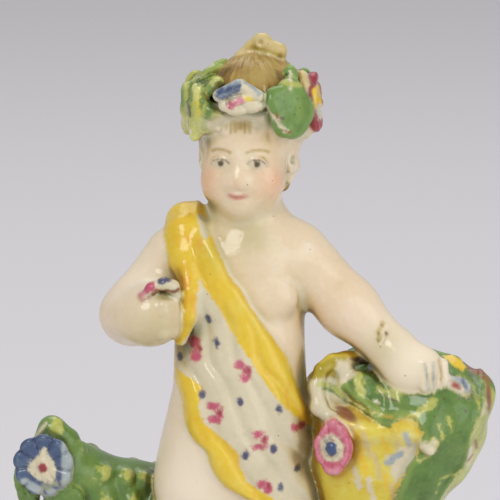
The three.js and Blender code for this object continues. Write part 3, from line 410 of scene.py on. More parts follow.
def face_form():
    skull = ellipsoid((0, 2.5, 3.6), (9.5, 11.6, 11.4))
    face = ellipsoid((0, -2.2, -3.8), (7.9, 8, 9.3))
    cheeks = pair_of(lambda s: ball((4.1 * s, -5.2, -5.4), 4.2))
    jowls = ellipsoid((0, -2.8, -9), (5.2, 5.6, 3.8))
    chin = ball((0, -7.3, -10.7), 2.2)
    bridge = limb((0, -8.2, -1.2), (0, -9.9, -4), 0.8, 1)
    tip = ball((0, -10.1, -4.5), 1.3)
    wings = pair_of(lambda s: ball((1.25 * s, -10, -5), 0.8))
    upper_lip = ellipsoid((0, -9.6, MOUTH_HEIGHT + 0.5), (1.9, 0.9, 0.55))
    lower_lip = ellipsoid((0, -9.4, MOUTH_HEIGHT - 0.6), (1.5, 0.9, 0.6))
    sockets = pair_of(lambda s: ellipsoid((EYE[0] * s, -11, EYE[2] + 0.2), (2.4, 1.5, 1.4)))
    eyes = pair_of(lambda s: ball((EYE[0] * s, EYE[1], EYE[2]), 1.9))
    shells = pair_of(lambda s: ellipsoid((9 * s, 0.6, -1.4), (1.3, 2.1, 2.8)))
    ears = carve(0.6, shells, pair_of(lambda s: ball((10.2 * s, -0.4, -1.2), 1)))
    flesh = carve(1.8, join(3.2, skull, face, cheeks, jowls, chin), sockets)
    flesh = join(2.4, flesh, join(0.8, bridge, tip, wings))
    lids = join(0.4, lid_form(-1), lid_form(1))
    return join(0.7, flesh, join(0.4, upper_lip, lower_lip), eyes, lids, ears)


def lid_form(side):
    """An upper lid: a low arch over the eyeball."""
    ex, ey, ez = EYE
    stops = []
    for step in range(5):
        a = math.pi * (0.1 + 0.2 * step)
        across = math.cos(a)
        stops.append((ex * side + 1.9 * across, ey - 1.3 + 0.3 * abs(across), ez + 1.25 * math.sin(a), 0.3))
    return chain(0.2, stops)


def hair_form():
    """A full crown with combed strands, locks at the ears and nape, and a short fringe."""
    crown = ellipsoid((1.4, 3.4, 8.6), (11.6, 12, 12))
    nape = ellipsoid((0, 6, -1), (9.6, 8.2, 10.5))
    locks = pair_of(
        lambda s: chain(1, [(9 * s, 3, 2, 1.6), (9.2 * s, 3.6, -3, 1.2), (8.2 * s, 3.6, -6, 0.8)])
    )
    curls = []
    for i in range(-2, 3):
        curls.append(limb((3.8 * i, 12.6 - i * i, 3), (3 * i, 11.6 - 0.8 * i * i, -7.5), 2.4, 1.7))
    fringe = []
    for i in range(-3, 4):
        tip = (1.15 * i - 0.6, -8.6, 5.6 + 0.4 * (i % 2))
        fringe.append(limb((1.1 * i - 0.6, -7.9, 8.6), tip, 0.7, 0.3))
    mass = join(0.8, join(2.5, crown, nape), locks, *curls, *fringe)

    def combed(p):
        round_crown = np.arctan2(p[0], p[1] - 3.4)
        strands = np.sin(round_crown * 23 + 0.25 * p[2]) + 0.5 * np.sin(round_crown * 41 - 0.4 * p[2])
        return mass(p) - 0.11 * strands * smooth_step(2, 6, np.hypot(p[0], p[1] - 3.4))

    return combed


HEAD_AXIS = column((0.3, 1.5, HEAD))


def to_head(p):
    """World points in the head's coordinates."""
    q = p - HEAD_AXIS
    c, s = math.cos(HEAD_TURN), math.sin(HEAD_TURN)
    return np.array([q[0] * c - q[1] * s, q[0] * s + q[1] * c, q[2]])


def on_head(form):
    return within((0.3, 1.5, HEAD + 2), 19, lambda p: form(to_head(p)))


# The wreath: a vine round the head, with leaves and blossoms set by their angle from the front, where 90
# degrees is the boy's left.

WREATH_CENTRE = (0.9, 2.6, HEAD + 9.6)
WREATH_ACROSS, WREATH_DEEP, WREATH_TUBE = 12.2, 12.6, 2.2


def wreath_sprig(angle, rise=0.0, stand_off=0.6, tip=0.0, lean=0.0, **form):
    """tip is the way that a leaf points, in degrees from up to the boy's left. lean tips its face up."""
    a, t = math.radians(angle), math.radians(tip)
    x, y, z = WREATH_CENTRE
    return {
        "at": (
            x + (WREATH_ACROSS + stand_off) * math.sin(a),
            y - (WREATH_DEEP + stand_off) * math.cos(a),
            z + rise,
        ),
        "out": (math.sin(a), -math.cos(a), math.tan(math.radians(lean))),
        "up": (math.sin(t) * math.cos(a), math.sin(t) * math.sin(a), math.cos(t)),
        **form,
    }


def front_leaves():
    """A big smooth leaf over the boy's left temple, long folded ones at the right, and two small ones."""
    big = dict(
        angle=39, rise=0.6, stand_off=1.2, tip=158, lean=6, length_=12.6, width=11, notch=0.06, point=-0.1,
        arch=0.8, puff=0.4,
    )
    names = "angle rise stand_off tip lean length_ width notch fold".split()
    rows = [
        (-57, -0.2, 1.1, 186, 0, 12.6, 5.8, 0.06, 1.4), (-79, 0.4, 1.1, 172, 0, 11, 5.8, 0.08, 1.4),
        (-97, -0.6, 0.9, 184, 0, 11.4, 6.8, 0.08, 1.4), (-118, 0, 1, 172, 0, 12, 7, 0.06, 1.2),
        (-58, 5.4, -1.6, -98, 50, 9.4, 6.2, 0.08, 0.8), (-88, 4.4, -1, -60, 40, 8, 6.6, 0.08, 0.8),
    ]
    folded = [dict(zip(names, row), veins=0.12) for row in rows]
    small = [
        dict(angle=50, rise=7.6, stand_off=-1, tip=10, lean=35, length_=4.2, width=3, fold=0.4, puff=0.2),
        dict(angle=108, rise=3.6, stand_off=0.4, tip=-20, lean=20, length_=9, width=7, fold=0.5, puff=0.3),
    ]
    return [big, *folded, *small]


def front_flower():
    """The damaged flower over the brow: two long petals that meet like a roof, a boss and short petals."""
    roof = chain(0.6, [(-5.2, -9.8, 156.8, 1.4), (-1.2, -11.2, 158.8, 1.6)])
    gable = chain(0.6, [(-0.8, -11, 158.8, 1.4), (2.8, -10.6, 156.7, 1.3)])
    heart = ball((-2, -11.2, 155.6), 1.2)
    tongue = limb((-1.2, -11.3, 156), (1.4, -11.2, 156.7), 1)
    petals = [
        ellipsoid((1.2, -10.6, 154.7), (2.3, 1.4, 1.5)),
        ellipsoid((-1.8, -10.8, 153.9), (2.2, 1.3, 1.2)),
        ellipsoid((-4, -9.8, 154.8), (1.5, 1.4, 1.4)),
        ellipsoid((3.2, -9.8, 154.8), (1.1, 1.3, 1.1)),
    ]
    backing = ellipsoid((-1.2, -8.8, 156.4), (4.4, 2.2, 3))
    return within((-1.2, -10, 156.4), 9, join(0.45, roof, gable, heart, tongue, backing, *petals))


SIDE_BLOSSOM = wreath_sprig(angle=84, rise=0.8, stand_off=0.8, lean=4, size=13, squeeze=0.95, boss=0.2)
BACK_BLOSSOM = wreath_sprig(angle=180, rise=1.5, stand_off=1.2, size=11)


def back_leaves():
    """The back of the wreath repeats plainer leaves, tips down and up by turns."""
    leaf = dict(stand_off=1, length_=11, width=8.5, notch=0.06, arch=0.6, puff=0.6, veins=0.2)
    leaves = []
    for i, angle in enumerate((126, 142, 160, 200, 218, 236)):
        rise, tip = (1.6, 20) if i % 2 else (-0.6, 170)
        leaves.append(dict(leaf, angle=angle, rise=rise, tip=tip))
    return leaves


def wreath_leaves():
    cx, cy, cz = WREATH_CENTRE

    def vine(p):
        a = np.arctan2((p[0] - cx) / WREATH_ACROSS, (cy - p[1]) / WREATH_DEEP)
        ring = np.hypot(WREATH_ACROSS * np.sin(a), WREATH_DEEP * np.cos(a))
        out = np.hypot(p[0] - cx, p[1] - cy) - ring
        tube = WREATH_TUBE * smooth_step(0.3, 0.75, np.abs(a + 0.1)) + 0.2 * np.sin(17 * a)
        return np.hypot(out, p[2] - cz - 0.6 * np.sin(5 * a)) - tube

    leaves = [sprig(**wreath_sprig(**leaf)) for leaf in front_leaves() + back_leaves()]
    leaves.append(sprig((-6.6, -2.6, HEAD + 18), (-0.4, -0.7, 0.6), (0.8, 0, 0.6), 7, 2.2, fold=0.3))
    return within(WREATH_CENTRE, 21, join(0.6, vine, *leaves))


def brow_band():
    """A band of plain clay under the wreath, which shows below its leaves at the temples."""
    stops = [
        (-11, 0, HEAD + 6.2, 2), (-8, -3.8, HEAD + 7, 2.1), (-5.6, -6, HEAD + 9, 1.8),
        (-1, -7.8, HEAD + 10.2, 1.4), (3.8, -7.4, HEAD + 9, 1.5), (8.2, -4.4, HEAD + 6.4, 2.1),
        (11.8, -1, HEAD + 5.4, 2.4),
    ]
    return chain(1.5, stops)


def top_knot():
    """The knot of the wreath's ribbon, on the crown: a slanting tail, a round knot and one square loop."""
    top = HEAD + 22.6
    tail = chain(1, [(-0.6, 4, top - 2.6, 1.2), (1.4, 4, top - 0.8, 1.3), (3, 3.8, top + 0.4, 1.6)])
    knot = carve(0.5, ellipsoid((3.6, 3.4, top + 0.2), (2.1, 2, 2.1)), ball((3, 1.3, top + 0.4), 0.75))
    loop = limb((4.8, 3.6, top - 0.8), (6.9, 3.4, top - 1.6), 1.7, 1.9)
    groove = limb((1.6, 1.6, top - 2.4), (8.2, 1.2, top - 3.4), 0.5)
    stem = limb((3.4, 4.5, top - 1), (3.6, 4.5, top - 4), 2.2, 3)
    return within((2.5, 4, top - 2), 9, carve(0.6, join(0.6, tail, knot, loop, stem), groove))


# The drape covers the body between two edges, each a smooth run of x against z, alike in front and behind.

OUTER_EDGE = through(
    (58, 23), (64, 14), (69, 6), (72.9, 0.4), (75.6, -3.7), (78.9, -6.1), (82.9, -7.6), (85, -9.9),
    (88.6, -11.7), (93.4, -12.6), (97, -14.2), (100.9, -14.9), (105.1, -15.2), (109.3, -14), (112.6, -13.1),
    (116.8, -13.1), (121.6, -15.1), (127.5, -15.4), (130.5, -16.3),
)
INNER_EDGE = through(
    (80, 24), (84, 16), (88.3, 13.5), (90.4, 13.2), (94, 11.1), (97.6, 9.6), (101.8, 8.1), (105.7, 5.5),
    (109.6, 2.8), (112.9, 0.5), (116.2, -1.3), (119.2, -3.7), (122.8, -5.4), (126.9, -7.5), (130.8, -9.5),
)
FOLD_LINE = through(
    (58, 22), (66, 16.5), (72.3, 11.1), (77.1, 7), (82.6, 3.4), (86.2, 0.4), (92.2, -1.9), (97.6, -4.3),
    (101.2, -6.9), (109.9, -7.8), (122, -11.5),
)

# The yellow hem's inner edges. Above the apex the cloth is all yellow.
HEM_OUTER = through(
    (60, 24), (68, 12), (72.6, 6.1), (75.6, 1.6), (78.3, -0.4), (82, -1.3), (84.7, -3.1), (87.4, -6.4),
    (89.5, -8.7), (93.4, -9.5), (96.4, -9), (97.6, -10.8), (99.7, -14.2), (103.9, -13.7), (106, -12.5),
    (108.1, -11.1), (110.8, -10.2), (114.1, -9.9), (118.6, -9.3),
)
HEM_INNER = through(
    (82, 24), (85.6, 16), (87.7, 12.6), (91.6, 8.7), (95.2, 5.8), (99.4, 2.8), (102.7, 0.7), (106.3, -1.9),
    (109.6, -3.7), (112.9, -5.4), (115.9, -7.5), (118.6, -9.3),
)
HEM_APEX = 118.6


def drape_inset(x, z):
    """How far inside the drape's edges a point is, negative outside them."""
    return np.minimum(x - OUTER_EDGE(z), INNER_EDGE(z) - x) * 0.8


def fold_valley(x, z):
    """0 in the bottom of a fold's valley and 1 on its ridge. The deepest valley runs along FOLD_LINE, and
    the others keep a constant share of their spacing from it."""
    spacing = 3.3 + 0.075 * np.maximum(SHOULDER + 3 - z, 0)
    return np.abs(np.sin(np.pi * (x - FOLD_LINE(z)) / spacing))


def fold_height(x, z):
    depth = 0.7 * smooth_step(8, 24, SHOULDER + 3 - z)
    hem = 0.4 * (1 - smooth_step(2.5, 5, drape_inset(x, z)))
    return hem - depth * (1 - smooth_step(0, 1, fold_valley(x, z)))


def drape(body):
    def cloth(p):
        skin = body(p)
        near = skin < 6
        d = skin - CLOTH
        x, z = p[0][near], p[2][near]
        d[near] = smooth_max(d[near] - fold_height(x, z), -drape_inset(x, z), 1.2)
        return d

    top = SHOULDER
    bunch = [
        (-13.2, -6.2, top - 1.5, 2), (-12.8, -2.5, top + 4.6, 3.2), (-12.4, 2, top + 6, 3.6),
        (-12.6, 7, top + 3, 2.8),
    ]
    lining = [(-9.6, 0.5, top + 7.4, 1.1), (-9.4, -3.6, top + 5.4, 1), (-9, -6.2, top + 2.6, 0.8)]
    roll = [
        (-12.2, -7.6, top - 2, 2), (-11.4, -10, top - 7, 1.9), (-11.6, -11, top - 12, 1.7),
        (-13.2, -9.6, top - 17, 1.3),
    ]
    return join(2, cloth, chain(2, bunch), chain(1, lining), chain(1, roll))


# The cornucopia's spine, from under its mouth to the end of its tail: (x, y, z, radius)
HORN_SPINE = [
    (31.7, 2.5, 86, 12), (30.2, 4, 75, 12.3), (27, 6.5, 66, 11.4), (20.5, 9.5, 60, 10), (10, 11.5, 58, 9),
    (-2, 12.5, 60.5, 8.4), (-13, 11.5, 66.4, 8), (-23, 9, 68.6, 7.6), (-31, 6, 71, 7.6),
    (-38.4, 1.5, 76.8, 7),
]
MOUTH = (31.8, 0.5, 92.8)


def spline(stops, count):
    """Evenly spaced points on a smooth curve through stops, and its directions there."""
    control = np.array([stop[:3] for stop in stops], float)
    control = np.vstack([2 * control[0] - control[1], control, 2 * control[-1] - control[-2]])
    dense = []
    for a, b, c, d in zip(control, control[1:], control[2:], control[3:]):
        rise, bend, twist = c - a, 2 * a - 5 * b + 4 * c - d, 3 * b - a - 3 * c + d
        for t in np.arange(0, 1, 0.02):
            dense.append(0.5 * (2 * b + rise * t + bend * t * t + twist * t**3))
    dense = np.array(dense + [control[-2]])
    run = np.concatenate([[0], np.cumsum(np.linalg.norm(np.diff(dense, axis=0), axis=1))])
    even = np.linspace(0, run[-1], count)
    points = np.array([np.interp(even, run, dense[:, axis]) for axis in range(3)])
    tangents = np.gradient(points, axis=1)
    return points, tangents / length(tangents)


# Rounded bosses stand along the tail in rows round the horn, each at its angle up from the front in degrees.
# Every other row is set on by half the step between bosses.
BOSS_ROWS = (45, 5, -35, -75, 215, 175, 135)
BOSS_FIRST, BOSS_STEP, BOSS_COUNT, BOSS_RADIUS, BOSS_SUNK = -34.6, 5.4, 11, 2.4, 0.9


def gadrooned(spine):
    """The horn's body with its rows of bosses, which leave the top smooth."""
    body = chain(1.5, spine)
    points, tangents = spline(spine, 121)
    rising = points[:, ::-1], tangents[:, ::-1]
    radius = np.interp(points[0][::-1], [stop[0] for stop in spine[::-1]], [stop[3] for stop in spine[::-1]])
    centres = []
    for row, degrees in enumerate(BOSS_ROWS):
        x = BOSS_FIRST + BOSS_STEP * (np.arange(BOSS_COUNT) + row % 2 / 2)
        centre, along = (np.array([np.interp(x, rising[0][0], axis) for axis in part]) for part in rising)
        front = column((0, -1, 0)) + along * along[1]
        front /= length(front)
        top = np.cross(along.T, front.T).T
        angle = math.radians(degrees)
        out = np.interp(x, rising[0][0], radius) - BOSS_SUNK
        centres.extend((centre + out * (front * math.cos(angle) + top * math.sin(angle))).T)

    def form(p):
        d = body(p)
        near = np.abs(d) < 4
        if near.any():
            q = p[:, near]
            bosses = np.full(q.shape[1], 9.0)
            for centre in centres:
                bosses = np.minimum(bosses, length(q - centre[:, None]) - BOSS_RADIUS)
            d[near] = smooth_min(d[near], bosses, 0.9)
        return d

    return form


# What the leaf over the horn covers, and the seam near its outer edge, seen from the front
HORN_LEAF = (
    (20, 93), (22.9, 91.5), (27, 89.1), (30, 88.2), (32.6, 90), (35, 89.7), (36.8, 86.7), (35.9, 82.2),
    (33.6, 79.2), (31.5, 73.1), (27, 62), (60, 50), (60, 120), (20, 120),
)
HORN_SEAM = through(
    (64, 39), (71.6, 41), (75, 43), (78, 45.4), (83, 46.4), (88, 47.6), (92, 49.2), (97, 49.6),
)


def horn_body():
    mx, my, mz = MOUTH
    width, depth, tilt = HORN_MOUTH["width"], HORN_MOUTH["depth"], HORN_MOUTH["tilt"]
    bowl = ellipsoid((mx + 0.4, my + 1.6, mz - 6.8), (width / 2, depth / 2, 16.6))
    swell = ellipsoid((mx + 7.2, my - 2, mz - 4), (10.5, 10, 9))
    cheek = ellipsoid((mx - 10.4, my - 2.6, mz - 13), (7.6, 8, 12))

    def above(p):
        return (p[2] - mz) * math.cos(tilt) - (p[1] - my) * math.sin(tilt)

    def cup(p):
        heave = 0.9 * np.sin(0.42 * p[0] + 0.35 * p[1]) * np.cos(0.5 * p[1] - 0.2 * p[0]) - 0.6
        return smooth_max(bowl(p), above(p) - heave, 1.6)

    def rim(p):
        a = np.arctan2((p[1] - my) / depth, (p[0] - mx) / width)
        spread = np.hypot((p[0] - mx) / width, (p[1] - my) / (depth * math.cos(tilt))) * 2
        out = spread - 0.96 * (1 + 0.025 * np.sin(9 * a + 1))
        return np.hypot(out * depth * 0.5, above(p) - 0.5 * np.sin(7 * a)) - 1.5

    return join(3, cup, rim, swell, join(6, cheek, gadrooned(HORN_SPINE)))


def horn():
    """The horn, with a leaf in low relief round its outer side and a seam near the leaf's outer edge."""
    body = horn_body()

    def form(p):
        bare = body(p)
        near = np.abs(bare) < 4
        x, _, z = p[:, near]
        waves = 0.3 * np.sin(0.5 * x + 0.35 * z) * np.sin(0.3 * z - 0.4 * x + 1) * smooth_step(60, 72, z)
        seam = 0.4 * bump((x - HORN_SEAM(z)) * 0.8, 0.6)
        leaf = smooth_max(bare[near] - 0.6 - seam - waves, area(x, z, *HORN_LEAF), 1)
        bare[near] = smooth_min(bare[near] - waves, leaf, 0.5)
        return bare

    return form


LIP_STOPS = [
    (25, -2, 100.6, 1.3), (21, -3.8, 100.8, 1.3), (18.2, -5.2, 100.5, 1.3), (16, -6.3, 98.8, 1.3),
    (14.7, -7, 95.6, 1.4), (15.2, -8.2, 91.6, 1.5), (18.2, -9.6, 89, 1.3), (22.6, -10.6, 88, 0.9),
]
PINK_BLOSSOM = dict(
    at=(18.5, -11.2, 83.6), out=(-0.35, -1, 0.05), size=12, squeeze=0.72, boss=0.28, petals=9, cup=0.6,
    creases=0.25, point=0.1,
)
BLUE_BLOSSOM = dict(
    at=(44.2, -6.8, 95.6), out=(0.2, -0.7, 0.7), up=(1, 0, -0.35), size=5.6, squeeze=0.72, boss=0.18,
    cup=0.3, creases=0.2,
)
TAIL_BLOSSOM = dict(at=(-42, -4.8, 78.6), out=(-0.2, -1, 0.05), size=13, boss=0.16, petals=9, cup=0.6)
BUD = (38.1, -12.6, 84)


def bud():
    x, y, z = BUD
    lumps = ((-0.8, 0, 0.2, 1.1), (0.8, 0, 0.9, 0.8), (0.2, 0.1, -0.9, 1))
    return join(0.7, *(ball((x + dx, y + dy, z + dz), r) for dx, dy, dz, r in lumps))


def lip():
    """The scrolled lip at the horn's inner side."""
    curl = ellipsoid((19, -4, 94), (4.6, 3.4, 5.4))
    fold = ellipsoid((20.6, -5.2, 98.2), (1.9, 2, 2.8))
    groove = limb((18.2, -7.6, 97.6), (18.6, -9, 92.4), 1.1)
    return within((19, -6, 95), 14, carve(1, join(1.6, chain(2, LIP_STOPS), curl, fold), groove))


def horn_leaves():
    """The leaves in the horn's mouth, hollowed between their turned edges, and a crest behind the hand."""
    lumps = [
        (23.4, -6.4, 96, 2.8), (26, -4, 93.8, 4.6), (31, -5.8, 91.2, 5), (36, -6.4, 91, 4.4), (30, 1, 96, 5),
    ]
    heap = join(2, *(ball(lump[:3], lump[3]) for lump in lumps))
    rim = [(20.4, -7, 96.4, 0.4), (23.4, -8.4, 93.6, 0.6), (27, -9.8, 91, 0.6), (31, -10.6, 88.8, 0.5)]
    edge = chain(1, rim)
    hollows = join(
        0.8,
        limb((20.8, -8.6, 97.8), (22.4, -9.6, 93.4), 0.8, 1),
        limb((25.6, -9.2, 97), (27.4, -10, 93.8), 1.5, 1.1),
        limb((29.4, -9.6, 96), (30.4, -11.6, 92), 1.3, 1.5),
        limb((30.4, -11.8, 91.6), (36.6, -11.4, 90.6), 1.4, 1),
    )
    crest = sprig((42.6, 0.6, 98), (0.1, -0.5, 0.85), (1, 0, -0.4), 9, 7.6, arch=0.8, puff=0.4)
    back_crest = sprig((30, 11, 99.4), (0, 0.4, 1), (-1, 0, 0.1), 14, 9, arch=0.8, puff=0.5, veins=0.2)
    return join(2, join(1, carve(0.9, heap, hollows), edge), crest, back_crest)


def tail_leaves():
    crest = chain(1.5, [(-41.6, -0.6, 82.4, 3), (-40.5, -0.4, 85.2, 2.6), (-37.6, 0, 82.6, 3)])
    outer = sprig((-45.4, -1.6, 74), (-0.7, -0.8, 0), (-0.1, 0, -1), 13, 8, lobes=3, arch=0.8, veins=0.3)
    under = sprig((-38.4, -4.6, 71.4), (0, -1, -0.3), (0.4, 0, -1), 11, 9, fold=0.6, veins=0.2)
    inner = sprig((-35.4, -2.4, 80), (0.4, -1, 0.3), (0.6, 0, 1), 6.5, 5, lobes=3, fold=0.5)
    return join(1, crest, outer, under, inner)


# A stump behind the legs carries the cornucopia, and a mound on the plinth carries the stump and the boy.


def stump_form():
    trunk = chain(4, [(13, 12, MOUND_TOP - 4, 12), (15, 11, 36, 8.5), (16.5, 10.5, 56, 8)])
    root = limb((13, 12, MOUND_TOP), (-6, 8, MOUND_TOP - 4), 6, 5)

    def bark(p):
        turn = np.arctan2(p[1] - 11, p[0] - 15)
        furrows = 0.45 * np.sin(turn * 7 + p[2] * 0.12) + 0.25 * np.sin(p[2] * 0.5 + p[0] * 0.6)
        return trunk(p) - furrows - 0.12 * np.sin(turn * 19 - p[2] * 0.2)

    return join(3, bark, root)


def mound_form():
    low = PLINTH_SIZE[2] - 3
    hill = ellipsoid((0, 0, low), (35, 27.5, MOUND_TOP - low))

    def mound(p):
        x, y, _ = p
        lumps = 0.6 * np.sin(0.29 * x + 1) * np.sin(0.34 * y + 0.4)
        return hill(p) - lumps - 0.2 * np.sin(0.6 * x - 0.4 * y)

    return mound


def plinth_form():
    """A block with clipped corners and softened edges."""
    rounding = 0.7
    half = column(PLINTH_SIZE) / 2 - column((0.05, 0.05, 0))
    middle = column((0, 0, PLINTH_SIZE[2] / 2))

    def form(p):
        q = np.abs(p - middle) - half + rounding
        across = (np.abs(p[0]) + np.abs(p[1]) - half[0] - half[1] + PLINTH_CORNER) / math.sqrt(2) + rounding
        q = np.vstack([np.maximum(q[:2].max(0), across), q[2]])
        return np.minimum(q.max(0), 0) + length(np.maximum(q, 0)) - rounding

    return form


# The whole, and its parts by what they are painted as

BODY = join(4, torso(), legs())
PARTS = {
    "skin": join(2.2, BODY, left_arm()),
    "right_arm": right_arm(),
    "posy": within(RIGHT_FIST, 9, posy_stump()),
    "cloth": drape(BODY),
    "face": on_head(face_form()),
    "hair": on_head(hair_form()),
    "knot": top_knot(),
    "wreath": wreath_leaves(),
    "brow_band": brow_band(),
    "front_blossom": front_flower(),
    "side_blossom": join(1, blossom(**SIDE_BLOSSOM), ellipsoid((11.8, -1.4, HEAD + 11.2), (2.6, 3.4, 6.4))),
    "back_blossom": blossom(**BACK_BLOSSOM),
    "horn": horn(),
    "lip": lip(),
    "horn_leaves": within((38, -4, 88), 26, horn_leaves()),
    "bud": bud(),
    "pink_blossom": blossom(**PINK_BLOSSOM),
    "blue_blossom": blossom(**BLUE_BLOSSOM),
    "tail_leaves": within((-40, -2, 77), 17, tail_leaves()),
    "tail_blossom": blossom(**TAIL_BLOSSOM),
    "stump": stump_form(),
    "mound": mound_form(),
    "plinth": plinth_form(),
}


def joined(k, *names):
    return join(k, *(PARTS[name] for name in names))


def sculpture():
    boy = join(1.2, joined(2.2, "skin", "cloth"), joined(0.8, "right_arm", "posy"))
    head = join(2, join(2, joined(1.6, "face", "hair"), PARTS["knot"]), PARTS["brow_band"])
    head = join(0.9, head, PARTS["wreath"])
    head = join(0.6, head, PARTS["front_blossom"], PARTS["side_blossom"], PARTS["back_blossom"])
    flowers = "bud", "pink_blossom", "blue_blossom", "tail_leaves", "tail_blossom"
    plenty = joined(1.1, "horn", "lip", "horn_leaves", *flowers)
    clay = join(1.4, join(2.2, boy, head), plenty, joined(3, "stump", "mound"))
    return join(1.2, lambda p: np.maximum(clay(p), PLINTH_SIZE[2] - 2 - p[2]), PARTS["plinth"])


# Cutting the field into a mesh

CHUNK = 300_000  # points that are worked out at a time
BLOCK = 6  # nodes along a block that is skipped where it is far from the clay


def sampled(field, p):
    return np.concatenate([field(p[:, i : i + CHUNK]) for i in range(0, p.shape[1], CHUNK)])


def ticks(low, high, cells):
    """Grid positions from low to high, in whole blocks."""
    at = [low]
    while at[-1] < high or len(at) % BLOCK:
        size = next((size for end, size in cells if at[-1] <= end), cells[-1][1])
        at.append(at[-1] + size)
    return np.array(at)


def all_of(axes):
    """Every combination of the axes' values, as an array with a row for each axis."""
    return np.array([m.ravel() for m in np.meshgrid(*axes, indexing="ij")])


def grid_values(field, grid):
    """The field on every node of the grid, worked out only in the blocks that the surface may pass."""
    starts = [axis[::BLOCK] for axis in grid]
    ends = [axis[BLOCK - 1 :: BLOCK] for axis in grid]
    coarse = sampled(field, all_of([(a + b) / 2 for a, b in zip(starts, ends)]))
    radius = length(all_of([(b - a) / 2 for a, b in zip(starts, ends)]))
    shape = tuple(len(a) for a in starts)
    values = coarse.reshape(shape)
    for axis in range(3):
        values = np.repeat(values, BLOCK, axis)
    near = np.argwhere((np.abs(coarse) < 1.5 * radius + 1).reshape(shape))
    nodes = (near[:, None] * BLOCK + all_of([range(BLOCK)] * 3).T).reshape(-1, 3)
    places = np.array([axis[nodes[:, i]] for i, axis in enumerate(grid)])
    values[tuple(nodes.T)] = sampled(field, places)
    return values


CORNERS = np.array([(i, j, k) for i in (0, 1) for j in (0, 1) for k in (0, 1)])
EDGES = [(a, b) for a in range(8) for b in range(a + 1, 8) if np.abs(CORNERS[a] - CORNERS[b]).sum() == 1]


def surface_net(values, grid):
    """One vertex in each cell that the surface crosses, and a quad across each grid edge that it crosses."""
    inside = values < 0
    size = [n - 1 for n in values.shape]
    filled = np.zeros(size, np.int8)
    for i, j, k in CORNERS:
        filled += inside[i : i + size[0], j : j + size[1], k : k + size[2]]
    cells = np.argwhere((filled > 0) & (filled < 8))
    at_corner = [values[tuple((cells + c).T)] for c in CORNERS]
    places = [np.array([axis[cells[:, i] + c[i]] for i, axis in enumerate(grid)]) for c in CORNERS]
    total, count = np.zeros((3, len(cells))), np.zeros(len(cells))
    for a, b in EDGES:
        crossed = (at_corner[a] < 0) != (at_corner[b] < 0)
        share = np.where(crossed, at_corner[a] / np.where(crossed, at_corner[a] - at_corner[b], 1), 0)
        total += np.where(crossed, places[a] + (places[b] - places[a]) * share, 0)
        count += crossed
    number = np.full(size, -1)
    number[tuple(cells.T)] = np.arange(len(cells))

    quads = []
    for axis in range(3):
        order = (axis + 1) % 3, (axis + 2) % 3, axis
        turned, cell = inside.transpose(order), number.transpose(order)
        i, j, k = np.nonzero(turned[1:-1, 1:-1, :-1] != turned[1:-1, 1:-1, 1:])
        quad = np.array([cell[i, j, k], cell[i + 1, j, k], cell[i + 1, j + 1, k], cell[i, j + 1, k]]).T
        inward = ~turned[i + 1, j + 1, k]
        quad[inward] = quad[inward][:, ::-1]
        quads.append(quad)
    return total / count, np.concatenate(quads)


def gradient(field, p, step=0.06):
    slopes = []
    for axis in range(3):
        shift = np.zeros((3, 1))
        shift[axis] = step
        slopes.append((sampled(field, p + shift) - sampled(field, p - shift)) / (2 * step))
    return np.array(slopes)


# The grid's reach along x, y and z, and its cells: each size holds up to the place given with it.
GRID = (
    (-53.0, 55.0, [(-17, 0.52), (17, 0.42), (55, 0.52)]),
    (-33.0, 33.0, [(33, 0.46)]),
    (-1.3, 171.0, [(HIP - 20, 0.75), (SHOULDER + 4, 0.5), (171, 0.4)]),
)


def sculpt():
    """The clay as vertices, outward normals and quads."""
    field = sculpture()
    grid = [ticks(*reach) for reach in GRID]
    p, quads = surface_net(grid_values(field, grid), grid)
    for _ in range(2):
        slope = gradient(field, p)
        steep = np.maximum((slope * slope).sum(0), 0.05)
        p = p - np.clip(sampled(field, p) / steep, -0.3, 0.3) * slope
    slope = gradient(field, p)
    return field, p, slope / np.maximum(length(slope), 1e-6), quads


def mesh_piece(name, p, normals, quads, attributes, material):
    used = np.unique(quads)
    lookup = np.full(p.shape[1], -1)
    lookup[used] = np.arange(len(used))
    faces = lookup[quads]
    mesh = bpy.data.meshes.new(name)
    mesh.vertices.add(len(used))
    mesh.vertices.foreach_set("co", (p[:, used].T * MM).astype(np.float32).ravel())
    mesh.loops.add(faces.size)
    mesh.loops.foreach_set("vertex_index", faces.astype(np.int32).ravel())
    mesh.polygons.add(len(faces))
    mesh.polygons.foreach_set("loop_start", np.arange(0, faces.size, 4, dtype=np.int32))
    mesh.update(calc_edges=True)
    mesh.validate()
    mesh.polygons.foreach_set("use_smooth", np.ones(len(mesh.polygons), bool))
    for label, values in attributes.items():
        layer = mesh.attributes.new(label, "FLOAT", "POINT")
        layer.data.foreach_set("value", values[used].astype(np.float32))
    mesh.normals_split_custom_set_from_vertices(normals[:, used].T.astype(np.float32))
    mesh.materials.append(material)
    piece = bpy.data.objects.new(name, mesh)
    bpy.context.scene.collection.objects.link(piece)
    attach(piece, "root")
    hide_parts(NODE)
    return piece


# Painting. Each pigment is a list of distances in mm, negative where it lies.

PIGMENTS = (
    "flesh white yellow citron olive green grass lime hair straw line "
    "blue pale_blue indigo pink lips red bare"
).split()


class Paint:
    def __init__(self, count):
        self.layers = {pigment: np.full(count, 9.0) for pigment in PIGMENTS}
        self.layers["flesh"] -= 18

    def lay(self, pigment, d):
        """Lays a pigment where d is negative, over what was there."""
        for other in self.layers.values():
            np.maximum(other, -d, out=other)
        self.layers[pigment] = np.minimum(self.layers[pigment], d)


def both(*ds):
    return np.maximum.reduce(ds)


def strokes(*rows):
    return [(pigment, stroke, *given) for pigment, *given in rows]


# Brush marks as they look from the front, in the order in which they are laid: the pigment, the kind of
# mark and what that takes. A stroke takes its half width and its stops, a spot its middle, half width,
# half height and tilt, and an area its corners. Places are (x, z).

